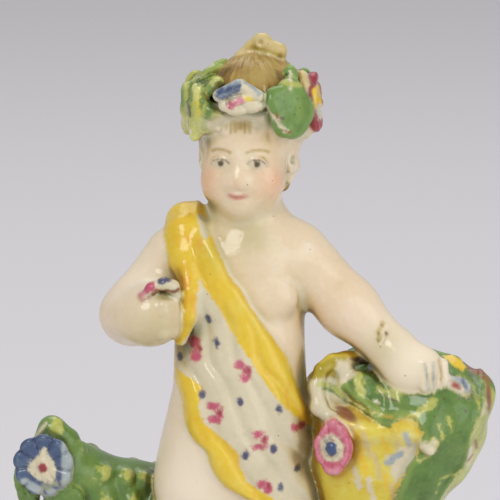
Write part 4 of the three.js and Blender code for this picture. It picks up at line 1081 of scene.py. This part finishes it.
COBALT_DOTS = [
    ("indigo", spot, place, 0.7, 0.95, tilt)
    for place, tilt in (
        ((-7.5, 110.5), 0.35), ((-5.9, 105.5), 0.35), ((-13.5, 101.9), 0), ((-8.9, 94.8), 0),
        ((-0.9, 93.8), 0.4), ((7, 91.9), 0.3), ((0, 82.4), 0), ((5.9, 83.5), 0.2), ((11, 78.6), -0.1),
        ((7.4, 74.9), 0), ((9.8, 69.4), 0.2), ((13.6, 64), 0), ((15.4, 73.4), 0),
    )
]
# Each is painted as lobes, (x, z, half width, half height), with a red dab on its right.
OPEN_C = [(-0.3, 1.35, 1.35, 0.85), (0.95, 0, 0.8, 1.4), (-0.2, -1.35, 1.3, 0.85)]
CLOTH_BLOSSOMS = [
    ((-10.3, 103.9), [(-0.2, 1.4, 1.2, 1.35), (0.1, -1.3, 1.2, 1.3)]),
    ((-0.1, 99.9), [(-0.9, 1.4, 1.1, 0.9), (0.7, 0, 0.8, 1.1), (0.2, -1.5, 1.1, 0.9)]),
    ((-6.1, 91.2), OPEN_C), ((3.1, 85.4), OPEN_C),
    ((11.2, 87.5), [(-0.5, 0, 1.1, 0.9), (0.5, 0.1, 0.7, 0.8)]),
    ((4, 75.3), [(-0.5, 0.8, 1.2, 0.9), (0.7, 0, 0.8, 1.3)]), ((12.4, 68.6), OPEN_C),
]
WRIST_WEAR = [
    ("straw", stroke, 0.45, (28.6, 109), (27.7, 107.4), (27.8, 105.4)),
    ("line", spot, (28.4, 108.6), 0.24, 0.4, 0.5), ("line", spot, (27.6, 107), 0.29, 0.4, 0.5),
    ("line", spot, (27.5, 105.6), 0.24, 0.4, 0.5), ("line", spot, (29.3, 106.9), 0.29, 0.4, 0.5),
]
# Painted shade in the clefts between the left hand's fingers.
FINGER_CLEFT_SHADE = strokes(
    ("pale_blue", 0.25, (37.2, 101), (37.7, 98), (37.8, 95.6)),
    ("pale_blue", 0.3, (38.9, 101), (39, 98), (38.9, 95.4)),
    ("hair", 0.15, (40.1, 101.6), (40.7, 98.4), (40.4, 95.8)),
)
POSY_MARKS = strokes(
    ("pink", 1.1, (-21.6, 116.2), (-19.6, 118.2)),
    ("indigo", 0.6, (-17.4, 119), (-15.8, 119.4)),
)
LEAF_MARKS = strokes(
    # The white stroke on the next line is a painted highlight along the top edges of the left leaves.
    ("green", 0.6, (-3.6, 165), (-6, 163.4), (-6.4, 161)), ("white", 0.4, (-6.8, 162.6), (-9.2, 160.4)),
    ("grass", 0.6, (-4, 163.6), (-6.6, 161.8), (-9.4, 160.6)),
    ("green", 0.45, (-7.2, 160.4), (-9.6, 158.8)), ("grass", 0.7, (-7, 158), (-7.4, 153), (-8.4, 149.8)),
    ("green", 0.35, (-8.5, 158.4), (-9, 154)), ("citron", 0.35, (-9.9, 157.4), (-9.5, 152.4)),
    ("green", 0.45, (-11.2, 158.4), (-11.4, 152.4)), ("grass", 0.6, (-13.3, 159), (-13.2, 154)),
    # Painted shade in the crevice between the left leaves.
    ("line", 0.35, (-11.7, 154.4), (-11.4, 152)),
    ("white", 0.35, (-13.4, 151.6), (-12.4, 149.4), (-11.4, 148.8)),
    # The white stroke on the next line is a painted highlight on the big leaf's edge, by the small leaf
    # behind it.
    ("white", 0.25, (9.3, 161.2), (9.2, 158.2)), ("lime", 0.5, (5.6, 160), (9, 159.2), (12.4, 158.4)),
    ("white", 0.35, (3.7, 157.8), (4, 155), (6.4, 151.8), (8.6, 149.4)),
    ("lime", 0.4, (4.6, 158.8), (7.8, 160.6)), ("green", 0.4, (12.6, 158), (13, 153)),
    ("green", 0.6, (12, 156), (12.4, 152), (11, 149.6)), ("bare", 0.3, (6.4, 153.2), (7, 151.8)),
    ("bare", 0.25, (8, 149.8), (9.4, 149.2)), ("line", 0.25, (7.4, 152.4), (7.9, 152.2)),
)
PINHOLES = [
    ("line", spot, pit, 0.16)
    for pit in (
        (9.4, 154.6), (10.8, 156), (8, 155.6), (10.2, 152.8), (9, 151.8), (11.4, 154), (6.6, 156.4),
        (8.6, 157.6), (10.4, 150.6),
    )
]
FRONT_FLOWER_MARKS = [
    ("pale_blue", area, (-6.6, 158.6), (-5.4, 155.7), (-0.7, 158.2), (-1, 160.8)),
    ("blue", stroke, 0.55, (-5.6, 157.4), (-4.6, 158.1)),
    ("blue", stroke, 0.55, (-3.9, 157.91), (-2.5, 158.73)),
    ("blue", stroke, 0.55, (-2, 158.48), (-1.2, 159.12)),
    ("blue", stroke, 0.3, (-6, 157), (-5, 156.2), (-1, 158.4)),
    ("pale_blue", stroke, 0.35, (0.2, 159.8), (3, 157.4), (2.2, 156.8)),
    ("yellow", area, (-0.4, 157.2), (0.2, 155.8), (1.8, 155.7), (1.9, 156.6)),
    ("pink", stroke, 0.75, (-3, 154.9), (-0.9, 156)),
]
SIDE_FLOWER_MARKS = strokes(
    ("yellow", 0.8, (14.6, 157), (15.2, 153.8)), ("white", 0.7, (15.4, 153.4), (15.9, 151)),
    ("straw", 1.2, (11, 160.8), (12.2, 158.6)),
)
# Thin places in the horn's yellow: where a streak starts, how far down it runs, and what shows
HORN_STREAKS = [
    (pigment, stroke, 0.55, (x, z), (x + 0.25 * run, z - run))
    for x, z, run, pigment in (
        (24.6, 86.6, 5, "straw"), (26.8, 82, 5, "straw"), (22.8, 79, 4, "white"), (28.4, 86, 3, "yellow"),
        (25.4, 77, 5, "white"), (21.6, 87.6, 3, "yellow"), (29, 77.6, 4, "yellow"),
        (24.2, 81.6, 4, "yellow"), (31.4, 84.6, 2, "straw"), (30.4, 75, 4, "straw"),
    )
]
HORN_MARKS = HORN_STREAKS + [
    ("white", area, (29.4, 81.6), (32.6, 83.4), (35.6, 84.6), (35, 80.2), (31.2, 75.6)),
    ("pale_blue", stroke, 0.7, (29.6, 80.2), (32.2, 82.2)),
    ("pale_blue", stroke, 0.6, (33.2, 86.6), (34, 84.4)),
]
HEAP_MARKS = strokes(
    ("lime", 0.9, (23.6, 98), (24.2, 94.4)), ("green", 0.7, (21.6, 98), (22.2, 95.6)),
    ("lime", 0.35, (27.4, 95.7), (29.2, 94.4), (32, 93.8)),
    ("line", 0.2, (27.6, 94.8), (29.4, 93.6), (31.6, 93)),
    ("lime", 0.8, (35.2, 90.4), (37, 91.6), (39, 93)), ("lime", 0.4, (24.4, 91.6), (27.6, 90.4)),
    ("olive", 0.3, (27.8, 90.4), (31.5, 89.6), (35, 90.2)),
    ("lime", 0.35, (36.4, 80.6), (39, 82.4), (39.6, 84.6)), ("lime", 0.5, (28, 95), (31.4, 94.9)),
    ("lime", 0.22, (47.3, 77.9), (44.3, 77), (40.8, 76), (39.9, 73)),
    ("white", 0.55, (47.2, 82.6), (46.8, 78.6)), ("white", 0.4, (49.6, 89.6), (50, 91.6)),
    ("bare", 0.3, (48, 84), (48.4, 82)), ("bare", 0.3, (46.6, 79.6), (47.6, 80.6)),
    ("lime", 0.3, (44.4, 97.2), (47.6, 94.6), (48.8, 91)), ("white", 0.25, (26.6, 93), (27.8, 92.6)),
    ("lime", 0.3, (42, 90.4), (42.8, 87)), ("lime", 0.3, (40, 88.6), (41, 86)),
)
LIP_MARKS = [
    # The olive area is yellow painted darker, as shade in the hollow of the lip's scroll.
    ("olive", area, (13, 97.4), (14, 104), (26, 106), (26, 101), (21.6, 101.4), (19, 101), (18.9, 97.6)),
    ("citron", stroke, 0.45, (15.6, 101), (17.6, 102), (20.4, 102.3), (23.6, 101.6)),
]
TURNED_PETAL = (18.6, 98), (19.4, 100.9), (22.6, 100.6), (23.6, 98.6), (21.4, 97), (20, 95.8)
# A dark painted shadow on the leaves under the left forearm.
PAINTED_SHADOW_UNDER_ARM = (21.8, 101.2), (24.4, 101.6), (30, 98.6), (31, 96.2), (28.6, 96.8), (25.4, 98.8)
MOUTH_MARKS = [("green", spot, (21, 95.4), 1.3, 1.2)] + strokes(
    ("green", 0.35, (16.3, 95.5), (18.6, 94.5), (21, 92.6)),
    ("lime", 0.5, (15.6, 96.4), (18.4, 95.4), (21.2, 93.3), (24, 91.8), (26.4, 90.7)),
    ("citron", 0.9, (18.4, 89), (21, 89.2), (24.6, 88.4)),
)
CHIPS = [
    ("bare", spot, (20.9, 90.3), 2.6, 1, -0.5), ("bare", spot, (48.4, 97.5), 2.7, 1.1, -0.55),
    ("bare", spot, (50.9, 92.8), 0.55, 3.2, 0),
]
PINK_MARKS = [("white", spot, (17.9, 83.7), 2.5, 3, 0.2), ("blue", spot, (17.8, 83.8), 1.3, 1.7, 0.2)]
BLUE_MARKS = [
    ("white", spot, (43.8, 95.7), 2, 1.05, -0.55), ("red", spot, (43.7, 96), 1.3, 0.6, -0.5),
    ("blue", stroke, 0.35, (45.2, 97), (46, 95.4)), ("blue", stroke, 0.3, (41.6, 94.6), (43.2, 94)),
]
CREST_MARKS = strokes(("yellow", 0.75, (41.6, 101.4), (43.4, 99.8), (45.6, 98.6)))
TAIL_MARKS = [("lime", spot, (-39.6, 86), 1.4, 1.8), ("white", stroke, 0.3, (-43.8, 84), (-41.6, 87))]
TAIL_DROP = (
    (-42, 82.6), (-43.2, 80.6), (-45.2, 79.2), (-45.4, 77.8), (-44.2, 76), (-42.6, 75.2), (-40.4, 75),
    (-39.4, 76), (-39.3, 78), (-40.2, 80.2), (-41.1, 81.4),
)
STAR_MARKS = [
    ("pale_blue", stroke, 0.9, (-46, 75), (-43, 73.4), (-40, 73)),
    ("blue", stroke, 0.4, (-42, 74.4), (-41.6, 72.6)), ("white", area, *TAIL_DROP),
    ("red", spot, (-42.1, 78.2), 1.05),
]


def horn_pits():
    """Dark pinholes in a spiral, high on the horn's outer side."""
    pits = []
    for i in range(18):
        away = 1 + 0.25 * i
        pit = (43.4 + 0.8 * away * math.cos(2.4 * i), 90 + away * math.sin(2.4 * i))
        pits.append(("line", spot, pit, 0.2))
    return pits


def painted(p, inner):
    """Every pigment's distances at the points p. inner holds each part's distance there."""
    x, y, z = p
    names = list(inner)
    stack = np.array([inner[name] for name in names])

    def patch(*chosen):
        """How far a point is from what the chosen parts cover."""
        mine = [name in chosen for name in names]
        return (stack[mine].min(0) - stack[[not m for m in mine]].min(0)) * 0.7

    paint = Paint(p.shape[1])
    lay = paint.lay
    front = y + 2

    def mark(cover, marks):
        """Lays marks on a cover, as they look from the front."""
        for pigment, shape, *given in marks:
            lay(pigment, both(cover, shape(x, z, *given)))

    # Ground, stump and plinth
    lay("white", patch("plinth"))
    lay("green", patch("mound"))
    lay("hair", patch("stump"))

    # Drape
    cloth = patch("cloth")
    lay("white", cloth)
    inside_hem = both(x - HEM_INNER(z), HEM_OUTER(z) - x, z - HEM_APEX) * 0.85
    lay("yellow", both(cloth, -inside_hem))
    lay("white", both(cloth, stroke(x, z, 1.0, (-8.9, 130.6), (-8.2, 127.8)), y + 3))
    mark(cloth, COBALT_DOTS)
    for (cx, cz), lobes in CLOTH_BLOSSOMS:
        mark(cloth, [("pink", spot, (cx + dx, cz + dz), wide, high) for dx, dz, wide, high in lobes])
        mark(cloth, [("red", spot, (cx + 0.9, cz + 0.2), 0.5, 0.7)])

    # Face and hair, in the head's own coordinates
    hx, hy, hz = to_head(p)
    ahead = both(patch("face"), hy + 4)
    hair = patch("hair")
    lay("white", both(hair, 6 - hz, hy + 2))
    lay("hair", both(hair, np.minimum(11.5 - hz, 6 - hy + np.sin(hx * 2.2)) + 0.4 * np.sin(9 * hx)))
    brow = both(front, -2 - hz)
    mark(brow, [("straw", area, (-5.4, 152.8), (2.2, 152.8), (1.8, 149.9), (-1, 149.5), (-4.8, 149.9))])
    for i in range(7):
        tip = (-4.9 + 0.98 * i, 149.2 + 0.5 * math.sin(2 * i))
        mark(brow, [("hair", stroke, 0.22, (-4.7 + 0.95 * i, 151.8), tip)])
    for side in (-1, 1):
        ex, ez = EYE[0] * side, EYE[2]
        lay("white", both(ahead, spot(hx, hz, (ex, ez + 0.1), 1.7, 0.9)))
        lay("line", both(ahead, spot(hx, hz, (ex + 0.1, ez + 0.35), 0.66, 0.72)))
        lid = [(ex + 1.9 * math.cos(a), ez + 1.2 * math.sin(a)) for a in np.linspace(0.1, 0.9, 6) * math.pi]
        lay("line", both(ahead, stroke(hx, hz, 0.17, *lid)))
        turns = np.linspace(0.15, 0.85, 6) * math.pi
        arch = [(ex + 2.3 * math.cos(a), ez + 2.2 + 0.9 * math.sin(a)) for a in turns]
        lay("hair", both(ahead, stroke(hx, hz, 0.24, *arch)))
    smile = [(0.45 * i, MOUTH_HEIGHT + 0.035 * i * i) for i in range(-4, 5)]
    lay("lips", both(ahead, spot(hx, hz, (0, MOUTH_HEIGHT + 0.1), 1.9, 0.9), stroke(hx, hz, 0.5, *smile)))
    lay("red", both(ahead, stroke(hx, hz, 0.09, *smile)))

    # Wreath
    knot = patch("knot")
    lay("straw", knot)
    # An olive painted shadow along the underside of the knot's loop.
    mark(both(knot, front - 8), [("olive", stroke, 0.4, (1.6, 165.4), (4, 164.6), (8, 163.4))])
    wreath = patch("wreath")
    lay("green", wreath)
    lay("grass", both(wreath, 1.5 - x))
    lay("lime", both(wreath, x + 3))
    lay("white", patch("brow_band"))
    mark(both(wreath, front - 6), LEAF_MARKS)
    mark(both(wreath, front - 4), PINHOLES)
    flower = patch("front_blossom")
    lay("white", flower)
    mark(flower, FRONT_FLOWER_MARKS)
    side = patch("side_blossom")
    lay("white", side)
    lay("red", both(side, 13 - x))
    mark(side, SIDE_FLOWER_MARKS)
    back = patch("back_blossom")
    lay("white", back)
    lay("blue", both(back, -spot(x, z, (0.9, 154.6), 2.8)))
    lay("red", both(back, spot(x, z, (0.9, 154.6), 1.2)))

    # Arms and posy
    mark(both(patch("skin"), front), WRIST_WEAR)
    posy = patch("posy")
    lay("white", posy)
    mark(both(posy, 6 + y), POSY_MARKS)
    ragged = []
    for i in range(9):
        ragged.append((-20.8 + 0.9 * i, 115 + 1.9 * smooth_step(0, 3, i) + 0.35 * math.sin(2.6 * i)))
    mark(both(patch("posy", "right_arm"), 6 + y), [("bare", stroke, 0.32, *ragged)])

    # Horn
    lay("citron", patch("horn", "horn_leaves"))
    pot = both(patch("horn"), front - 2)
    heap = patch("horn_leaves")
    mark(pot, HORN_MARKS)
    leaf = area(x, z, *HORN_LEAF)
    underneath = both((6 - y) * 0.7, 84 - z + 3 * np.sin(0.4 * x))
    leaves = np.minimum(inner["horn_leaves"], inner["tail_leaves"]) - inner["horn"]
    green = np.minimum.reduce([leaf, (x - 12.5) * 0.7, (z - 62 - 0.3 * x) * 0.7, underneath, leaves])
    lay("green", both(patch("horn", "horn_leaves", "tail_leaves"), green))
    lay("lime", both(pot, (HORN_SEAM(z) + 0.3 - x) * 0.8, leaf))
    mark(np.minimum(pot, heap), HEAP_MARKS)
    mark(pot, horn_pits())
    # Painted shade in the finger clefts.
    mark(both(patch("skin"), front), FINGER_CLEFT_SHADE)
    curl = patch("lip")
    lay("white", curl)
    mark(curl, LIP_MARKS)
    mouth = patch("lip", "horn_leaves", "horn")
    mark(both(mouth, front), [("white", area, *TURNED_PETAL)])
    # Painted shadow under the left forearm.
    mark(mouth, [("line", area, *PAINTED_SHADOW_UNDER_ARM)])
    mark(both(mouth, front), MOUTH_MARKS)
    mark(front - 12, CHIPS)
    lay("white", patch("bud"))
    pink = patch("pink_blossom")
    lay("pink", pink)
    mark(pink, PINK_MARKS)
    blue = patch("blue_blossom")
    lay("pale_blue", blue)
    mark(blue, BLUE_MARKS)
    mark(both(heap, front - 12), CREST_MARKS)

    # Tail
    raised = chain(1.5, HORN_SPINE)(p)
    lay("lime", both(patch("horn"), 0.75 - raised, x - 12.5))
    mark(both(patch("tail_leaves"), front - 4), TAIL_MARKS)
    star = patch("tail_blossom")
    lay("blue", star)
    lay("pale_blue", both(star, -38.2 - x))
    mark(star, STAR_MARKS)
    return {pigment: np.clip(d, -2.5, 2.5) for pigment, d in paint.layers.items()}


# The material: lead glaze over pigments on a cream body


class Graph:
    """Short ways to add shader nodes to a material."""

    def __init__(self, material):
        material.use_nodes = True
        self.tree = material.node_tree
        self.shader = self.tree.nodes["Principled BSDF"]
        self.place = self.add("ShaderNodeTexCoord").outputs["Object"]

    def add(self, kind, *given, **settings):
        node = self.tree.nodes.new(kind)
        for name, value in settings.items():
            setattr(node, name, value)
        for name, value in given:
            socket = node.inputs[name]
            if isinstance(value, bpy.types.NodeSocket):
                self.tree.links.new(value, socket)
            else:
                socket.default_value = value
        return node

    def noise(self, size, detail=2.0, rough=0.5, squash=None):
        """Soft noise whose features are about size mm wide."""
        place = self.place
        if squash:
            place = self.add("ShaderNodeMapping", ("Vector", place), ("Scale", squash)).outputs[0]
        given = ("Vector", place), ("Scale", 1 / (size * MM)), ("Detail", detail), ("Roughness", rough)
        return self.add("ShaderNodeTexNoise", *given).outputs["Fac"]

    def attribute(self, name):
        return self.add("ShaderNodeAttribute", attribute_name=name).outputs["Fac"]

    def math(self, operation, *values):
        return self.add("ShaderNodeMath", *enumerate(values), operation=operation).outputs[0]

    def step(self, value, low, high, top=1.0):
        """0 where value is low, rising smoothly to top where it is high."""
        given = ("Value", value), ("From Min", low), ("From Max", high), ("To Max", top)
        return self.add("ShaderNodeMapRange", *given, interpolation_type="SMOOTHSTEP").outputs[0]

    def blend(self, share, a, b, way="MIX"):
        a, b = (v if isinstance(v, bpy.types.NodeSocket) else (*v, 1.0) for v in (a, b))
        given = (0, share), (6, a), (7, b)
        return self.add("ShaderNodeMix", *given, data_type="RGBA", blend_type=way).outputs[2]


# A pigment's main tone, its tones where it is thick and thin, and how soft and how ragged its edge is.
# It lies thick at random and in the recesses, where its darker tone also stands as painted shade, and thin at
# random and on the ridges, where its lighter tone also stands as a painted highlight.
TONES = {
    "flesh": ((0.81, 0.66, 0.45), (0.74, 0.59, 0.36), (0.87, 0.76, 0.59), 0.4, 0.1),
    "white": ((0.70, 0.62, 0.43), (0.60, 0.55, 0.37), (0.78, 0.70, 0.51), 0.25, -0.5),
    "yellow": ((0.80, 0.56, 0.04), (0.74, 0.43, 0.02), (0.82, 0.66, 0.12), 0.2, 0.5),
    "citron": ((0.74, 0.61, 0.07), (0.64, 0.40, 0.03), (0.80, 0.73, 0.30), 0.3, 1.0),
    "olive": ((0.42, 0.33, 0.02), (0.28, 0.22, 0.015), (0.56, 0.46, 0.08), 0.35, 0.8),
    "green": ((0.13, 0.24, 0.05), (0.06, 0.12, 0.025), (0.27, 0.37, 0.08), 0.2, -0.8),
    "grass": ((0.17, 0.30, 0.065), (0.08, 0.15, 0.03), (0.33, 0.45, 0.12), 0.3, 0.8),
    "lime": ((0.49, 0.51, 0.12), (0.14, 0.20, 0.04), (0.70, 0.70, 0.26), 0.4, 1.2),
    "hair": ((0.45, 0.31, 0.085), (0.33, 0.21, 0.05), (0.54, 0.40, 0.15), 0.25, 0.2),
    "straw": ((0.66, 0.52, 0.22), (0.46, 0.34, 0.12), (0.76, 0.64, 0.38), 0.5, 0.8),
    "line": ((0.10, 0.08, 0.04), (0.08, 0.06, 0.03), (0.15, 0.11, 0.06), 0.15, 0.1),
    "blue": ((0.055, 0.09, 0.19), (0.03, 0.045, 0.12), (0.16, 0.22, 0.28), 0.25, 0.8),
    "pale_blue": ((0.36, 0.42, 0.44), (0.17, 0.23, 0.30), (0.54, 0.55, 0.49), 0.4, 1.0),
    "indigo": ((0.08, 0.08, 0.15), (0.06, 0.065, 0.12), (0.14, 0.16, 0.22), 0.2, 0.4),
    "pink": ((0.56, 0.10, 0.17), (0.42, 0.03, 0.07), (0.72, 0.32, 0.36), 0.35, 0.8),
    "lips": ((0.64, 0.26, 0.16), (0.58, 0.2, 0.13), (0.70, 0.36, 0.25), 0.35, 0.15),
    "red": ((0.33, 0.03, 0.05), (0.22, 0.02, 0.03), (0.45, 0.1, 0.1), 0.25, 0.4),
    "bare": ((0.30, 0.11, 0.05), (0.17, 0.06, 0.03), (0.42, 0.19, 0.09), 0.2, 0.45),
}
BLUISH_POOL = (0.66, 0.8, 0.82)
BRUSHED_YELLOW = (0.80, 0.44, 0.035)
SPECK_SPACING = 4.5 * MM
RIPPLE_DEPTH = 0.16 * MM
GLAZE = {
    "Roughness": 0.4,
    "Specular IOR Level": 0.2,
    "Coat Weight": 0.6,
    "Coat Roughness": 0.1,
    "Subsurface Weight": 0.06,
    "Subsurface Radius": (0.0016, 0.0011, 0.0007),
    "Subsurface Scale": 1.0,
}


def glaze_material():
    material = bpy.data.materials.new("glazed_pearlware")
    g = Graph(material)
    pool_and_shade = g.attribute("pool_and_shade")
    ridge = g.attribute("ridge")
    wash = g.noise(5.5, 3)
    brush = g.noise(1.1, 3, 0.6)
    # How far the borders wander. Both noises vary about 0.5.
    wander = g.math("MULTIPLY_ADD", g.noise(2.2, 3, 0.6), 2, g.math("SUBTRACT", brush, 1.5))
    # In the recesses the glaze lies thick and darker, which also stands as painted shade; on the ridges it
    # lies thin and lighter, which also stands as a painted highlight. The washes and the brush vary both at
    # random.
    thick_and_shaded = g.math("ADD", g.step(wash, 0.48, 0.8, 0.6), g.step(pool_and_shade, 0.1, 0.55))
    thick_and_shaded = g.math("MINIMUM", g.math("ADD", thick_and_shaded, g.step(brush, 0.46, 0.34, 0.2)), 1.0)
    thin_and_lit = g.math("ADD", g.step(wash, 0.48, 0.25, 0.4), g.step(ridge, 0.12, 0.6, 0.8))
    thin_and_lit = g.math("MINIMUM", g.math("ADD", thin_and_lit, g.step(brush, 0.54, 0.68, 0.25)), 1.0)
    colour = cover = None
    for pigment, (main, deep, light, edge, ragged) in TONES.items():
        shade = g.blend(thin_and_lit, g.blend(thick_and_shaded, main, deep), light)
        if pigment in ("flesh", "white"):
            shade = g.blend(g.step(pool_and_shade, 0.12, 0.7, 0.75), shade, BLUISH_POOL, "MULTIPLY")
        if pigment == "yellow":
            brushed = g.step(g.noise(3.2, 2, 0.5, (1, 1, 0.45)), 0.56, 0.72, 0.8)
            shade = g.blend(brushed, shade, BRUSHED_YELLOW)
        # Each pigment's share at a point. The one that lies deepest wins, and the noise moves the borders.
        d = g.math("ADD", g.attribute(pigment), g.math("MULTIPLY", wander, ragged))
        lies = g.math("POWER", math.e, g.math("MULTIPLY", d, -1.2 / edge))
        cover = lies if colour is None else g.math("ADD", cover, lies)
        colour = shade if colour is None else g.blend(g.math("DIVIDE", lies, cover), colour, shade)
    hollow = g.attribute("hollow")
    specks = g.add("ShaderNodeTexVoronoi", ("Vector", g.place), ("Scale", 1 / SPECK_SPACING))
    washes = [
        (g.attribute("blush"), (0.98, 0.64, 0.52), "MULTIPLY"),
        # Painted light that lifts the shade on the rounded limbs.
        (g.attribute("pale"), (0.97, 0.86, 0.68), "MIX"),
        # Greenish painted shade under the chin and the hands.
        (g.attribute("painted_shade"), (0.76, 0.78, 0.64), "MULTIPLY"),
        # Painted shade: the hollows warmer.
        (g.step(hollow, 0.2, 0.75, 0.8), (0.95, 0.86, 0.62), "MULTIPLY"),
        # The deepest hollows darker.
        (g.step(hollow, 0.55, 0.95, 0.6), (0.42, 0.36, 0.28), "MULTIPLY"),
        (g.step(specks.outputs["Distance"], 0.05, 0.035, 0.6), (0.2, 0.16, 0.1), "MIX"),
    ]
    for share, tint, way in washes:
        colour = g.blend(share, colour, tint, way)
    g.tree.links.new(colour, g.shader.inputs["Base Color"])
    for socket, value in GLAZE.items():
        g.shader.inputs[socket].default_value = value
    relief = g.math("ADD", g.noise(2.4, 2), g.math("MULTIPLY", g.noise(0.7, 2), 0.25))
    skin = g.add("ShaderNodeBump", ("Height", relief), ("Distance", RIPPLE_DEPTH), ("Strength", 0.55))
    for socket in ("Normal", "Coat Normal"):
        g.tree.links.new(skin.outputs[0], g.shader.inputs[socket])
    return material


# Soft patches on the clay: (x, y, z), how much, and how far. The warm ones are a flush. The third list is
# greenish painted shade under the chin, at the neck, under the right fist, at the left wrist, under the left
# hand and at the belly's side, and the last is painted light that lifts the shade on the arms, the left hand
# and the right leg.
WARM_ON_HEAD = [((-5.8, -6.5, -5), 1.1, 3.2), ((5.8, -6.5, -5), 1.1, 3.2), ((0, -11, -5), 0.3, 1.6)]
WARM = [(RIGHT_ELBOW, 0.3, 8), (LEFT_ELBOW, 0.3, 8), (RIGHT_KNEE, 0.4, 8), (LEFT_KNEE, 0.4, 8)]
PAINTED_SHADES = [
    ((1, -8, SHOULDER + 5), 1.0, 5), ((-18, -15, SHOULDER - 14), 1.0, 6.5),
    ((29, -9, SHOULDER - 19), 0.8, 5), ((38, -11, SHOULDER - 25), 0.5, 4),
    ((10, -8, SHOULDER - 28), 0.3, 6), ((-6, -9, SHOULDER + 2), 0.6, 4),
]
PAINTED_LIGHT = [
    ((-21, -3, SHOULDER - 8), 0.6, 8), (moved(LEFT_WRIST, 5, -6, -3), 0.85, 6.5),
    ((27, -6, SHOULDER - 15), 0.4, 7), ((-11, -8, HIP + 6), 0.6, 10), ((-9.5, -8, HIP - 10), 0.6, 12),
]


def soft(p, patches, most=1.0):
    """How much of the soft patches there is at a point."""
    much = sum(share * bump(length(p - column(place)), size) for place, share, size in patches)
    return np.minimum(much, most)


# Where the mesh is parted into pieces: at the knees, under the chin, and at the boy's right and left
CUTS = 50, SHOULDER + 6, -19.5, 14.5
# How far from the surface the recesses, the ridges and the deep hollows are looked for. In the recesses the
# glaze pools bluish over the skin and the white, and the colour is painted darker, as shade; the ridges are
# painted lighter, as a highlight where the glaze is thin; the hollows are painted warmer, as shade, and the
# deepest darker.
POOL_AND_SHADE_REACH, RIDGE_REACH, HOLLOW_REACH = 1.6, 1.4, 5


def build():
    field, p, normals, quads = sculpt()
    # The simplified solid's box is a hair smaller than the smooth form's.
    p = np.clip(p, *(column(corner) / MM for corner in cad_box))
    inner = {name: sampled(form, p) for name, form in PARTS.items()}
    attributes = painted(p, inner)

    def crowded(reach):
        """0 on flat clay, up to 1 by how near the surface is again, reach mm outwards, or inwards below 0."""
        return np.clip(1 - sampled(field, p + reach * normals) / reach, 0, 1)

    # Recesses, where the glaze pools and is painted darker as shade, and ridges, painted lighter as a
    # highlight
    attributes["pool_and_shade"] = crowded(POOL_AND_SHADE_REACH)
    attributes["ridge"] = crowded(-RIDGE_REACH)
    attributes["hollow"] = crowded(HOLLOW_REACH)
    attributes["blush"] = np.minimum(soft(to_head(p), WARM_ON_HEAD, 2) + soft(p, WARM, 2), 1)
    # Greenish painted shade, as soft patches.
    attributes["painted_shade"] = soft(p, PAINTED_SHADES)
    # Painted light on the skin of the rounded limbs.
    attributes["pale"] = soft(p, PAINTED_LIGHT, 0.8) * (1 - smooth_step(-0.4, 0.2, attributes["flesh"]))
    glaze = glaze_material()
    x, z = p[0][quads].mean(1), p[2][quads].mean(1)
    low, high, right, left = CUTS
    middle = (z > low) & (z <= high)
    regions = {
        "head": z > high,
        "left_side": middle & (x > left),
        "right_side": middle & (x < right),
        "body": middle & (x <= left) & (x >= right),
        "base": z <= low,
    }
    for region, chosen in regions.items():
        print(region, 2 * chosen.sum(), "triangles")
        mesh_piece(region, p, normals, quads[chosen], attributes, glaze)


build()

# Stage

FLOOR_REACH = 3.0
FLOOR_COLOUR = (0.80, 0.78, 0.80, 1)
STUDIO_COLOUR, STUDIO_STRENGTH = (0.84, 0.84, 0.86, 1), 0.57
FIGURE_MIDDLE = (0, 0, 0.11)
# Each lamp's place, aim, size in metres and watts
LAMPS = {
    "key": ((-0.35, -0.8, 0.85), FIGURE_MIDDLE, 0.5, 4.35),
    "fill": ((0.8, -0.6, 0.4), FIGURE_MIDDLE, 0.9, 3.2),
    "backdrop": ((0, 0.7, 1.2), (0, 0.5, 0), 1.0, 3.75),
}


def look_from(obj, place, aim):
    obj.location = place
    obj.rotation_euler = (Vector(aim) - Vector(place)).to_track_quat("-Z", "Y").to_euler()


def lamps():
    for name, (place, aim, size, power) in LAMPS.items():
        light = bpy.data.lights.new(name, "AREA")
        light.shape = "DISK"
        light.size = size
        light.energy = power
        lamp = bpy.data.objects.new(name, light)
        bpy.context.scene.collection.objects.link(lamp)
        look_from(lamp, place, aim)


def floor():
    mesh = bpy.data.meshes.new("floor")
    corners = [(x * FLOOR_REACH, y * FLOOR_REACH, 0) for x, y in ((-1, -1), (1, -1), (1, 1), (-1, 1))]
    mesh.from_pydata(corners, [], [(0, 1, 2, 3)])
    paper = bpy.data.materials.new("paper")
    paper.use_nodes = True
    shader = paper.node_tree.nodes["Principled BSDF"]
    shader.inputs["Base Color"].default_value = FLOOR_COLOUR
    shader.inputs["Roughness"].default_value = 0.9
    mesh.materials.append(paper)
    sheet = bpy.data.objects.new("floor", mesh)
    bpy.context.scene.collection.objects.link(sheet)


def studio():
    world = bpy.data.worlds.new("studio")
    bpy.context.scene.world = world
    world.use_nodes = True
    background = world.node_tree.nodes["Background"]
    background.inputs["Color"].default_value = STUDIO_COLOUR
    background.inputs["Strength"].default_value = STUDIO_STRENGTH


CAMERA_AIM = Vector((0.00104, 0.0, 0.1232))
CAMERA_AWAY = 0.9
CAMERA_RISE = math.radians(9)
CAMERA_SENSOR = 36.0
CAMERA_FIELD = 0.1042


def camera():
    data = bpy.data.cameras.new("camera")
    data.sensor_width = CAMERA_SENSOR
    data.lens = CAMERA_SENSOR * CAMERA_AWAY / CAMERA_FIELD
    data.clip_start = 0.05
    data.clip_end = 10
    seen_from = bpy.data.objects.new("camera", data)
    bpy.context.scene.collection.objects.link(seen_from)
    way = Vector((0, -math.cos(CAMERA_RISE), math.sin(CAMERA_RISE)))
    look_from(seen_from, CAMERA_AIM + way * CAMERA_AWAY, CAMERA_AIM)
    bpy.context.scene.camera = seen_from


floor()
studio()
lamps()
camera()
bpy.context.scene.view_settings.view_transform = "Standard"
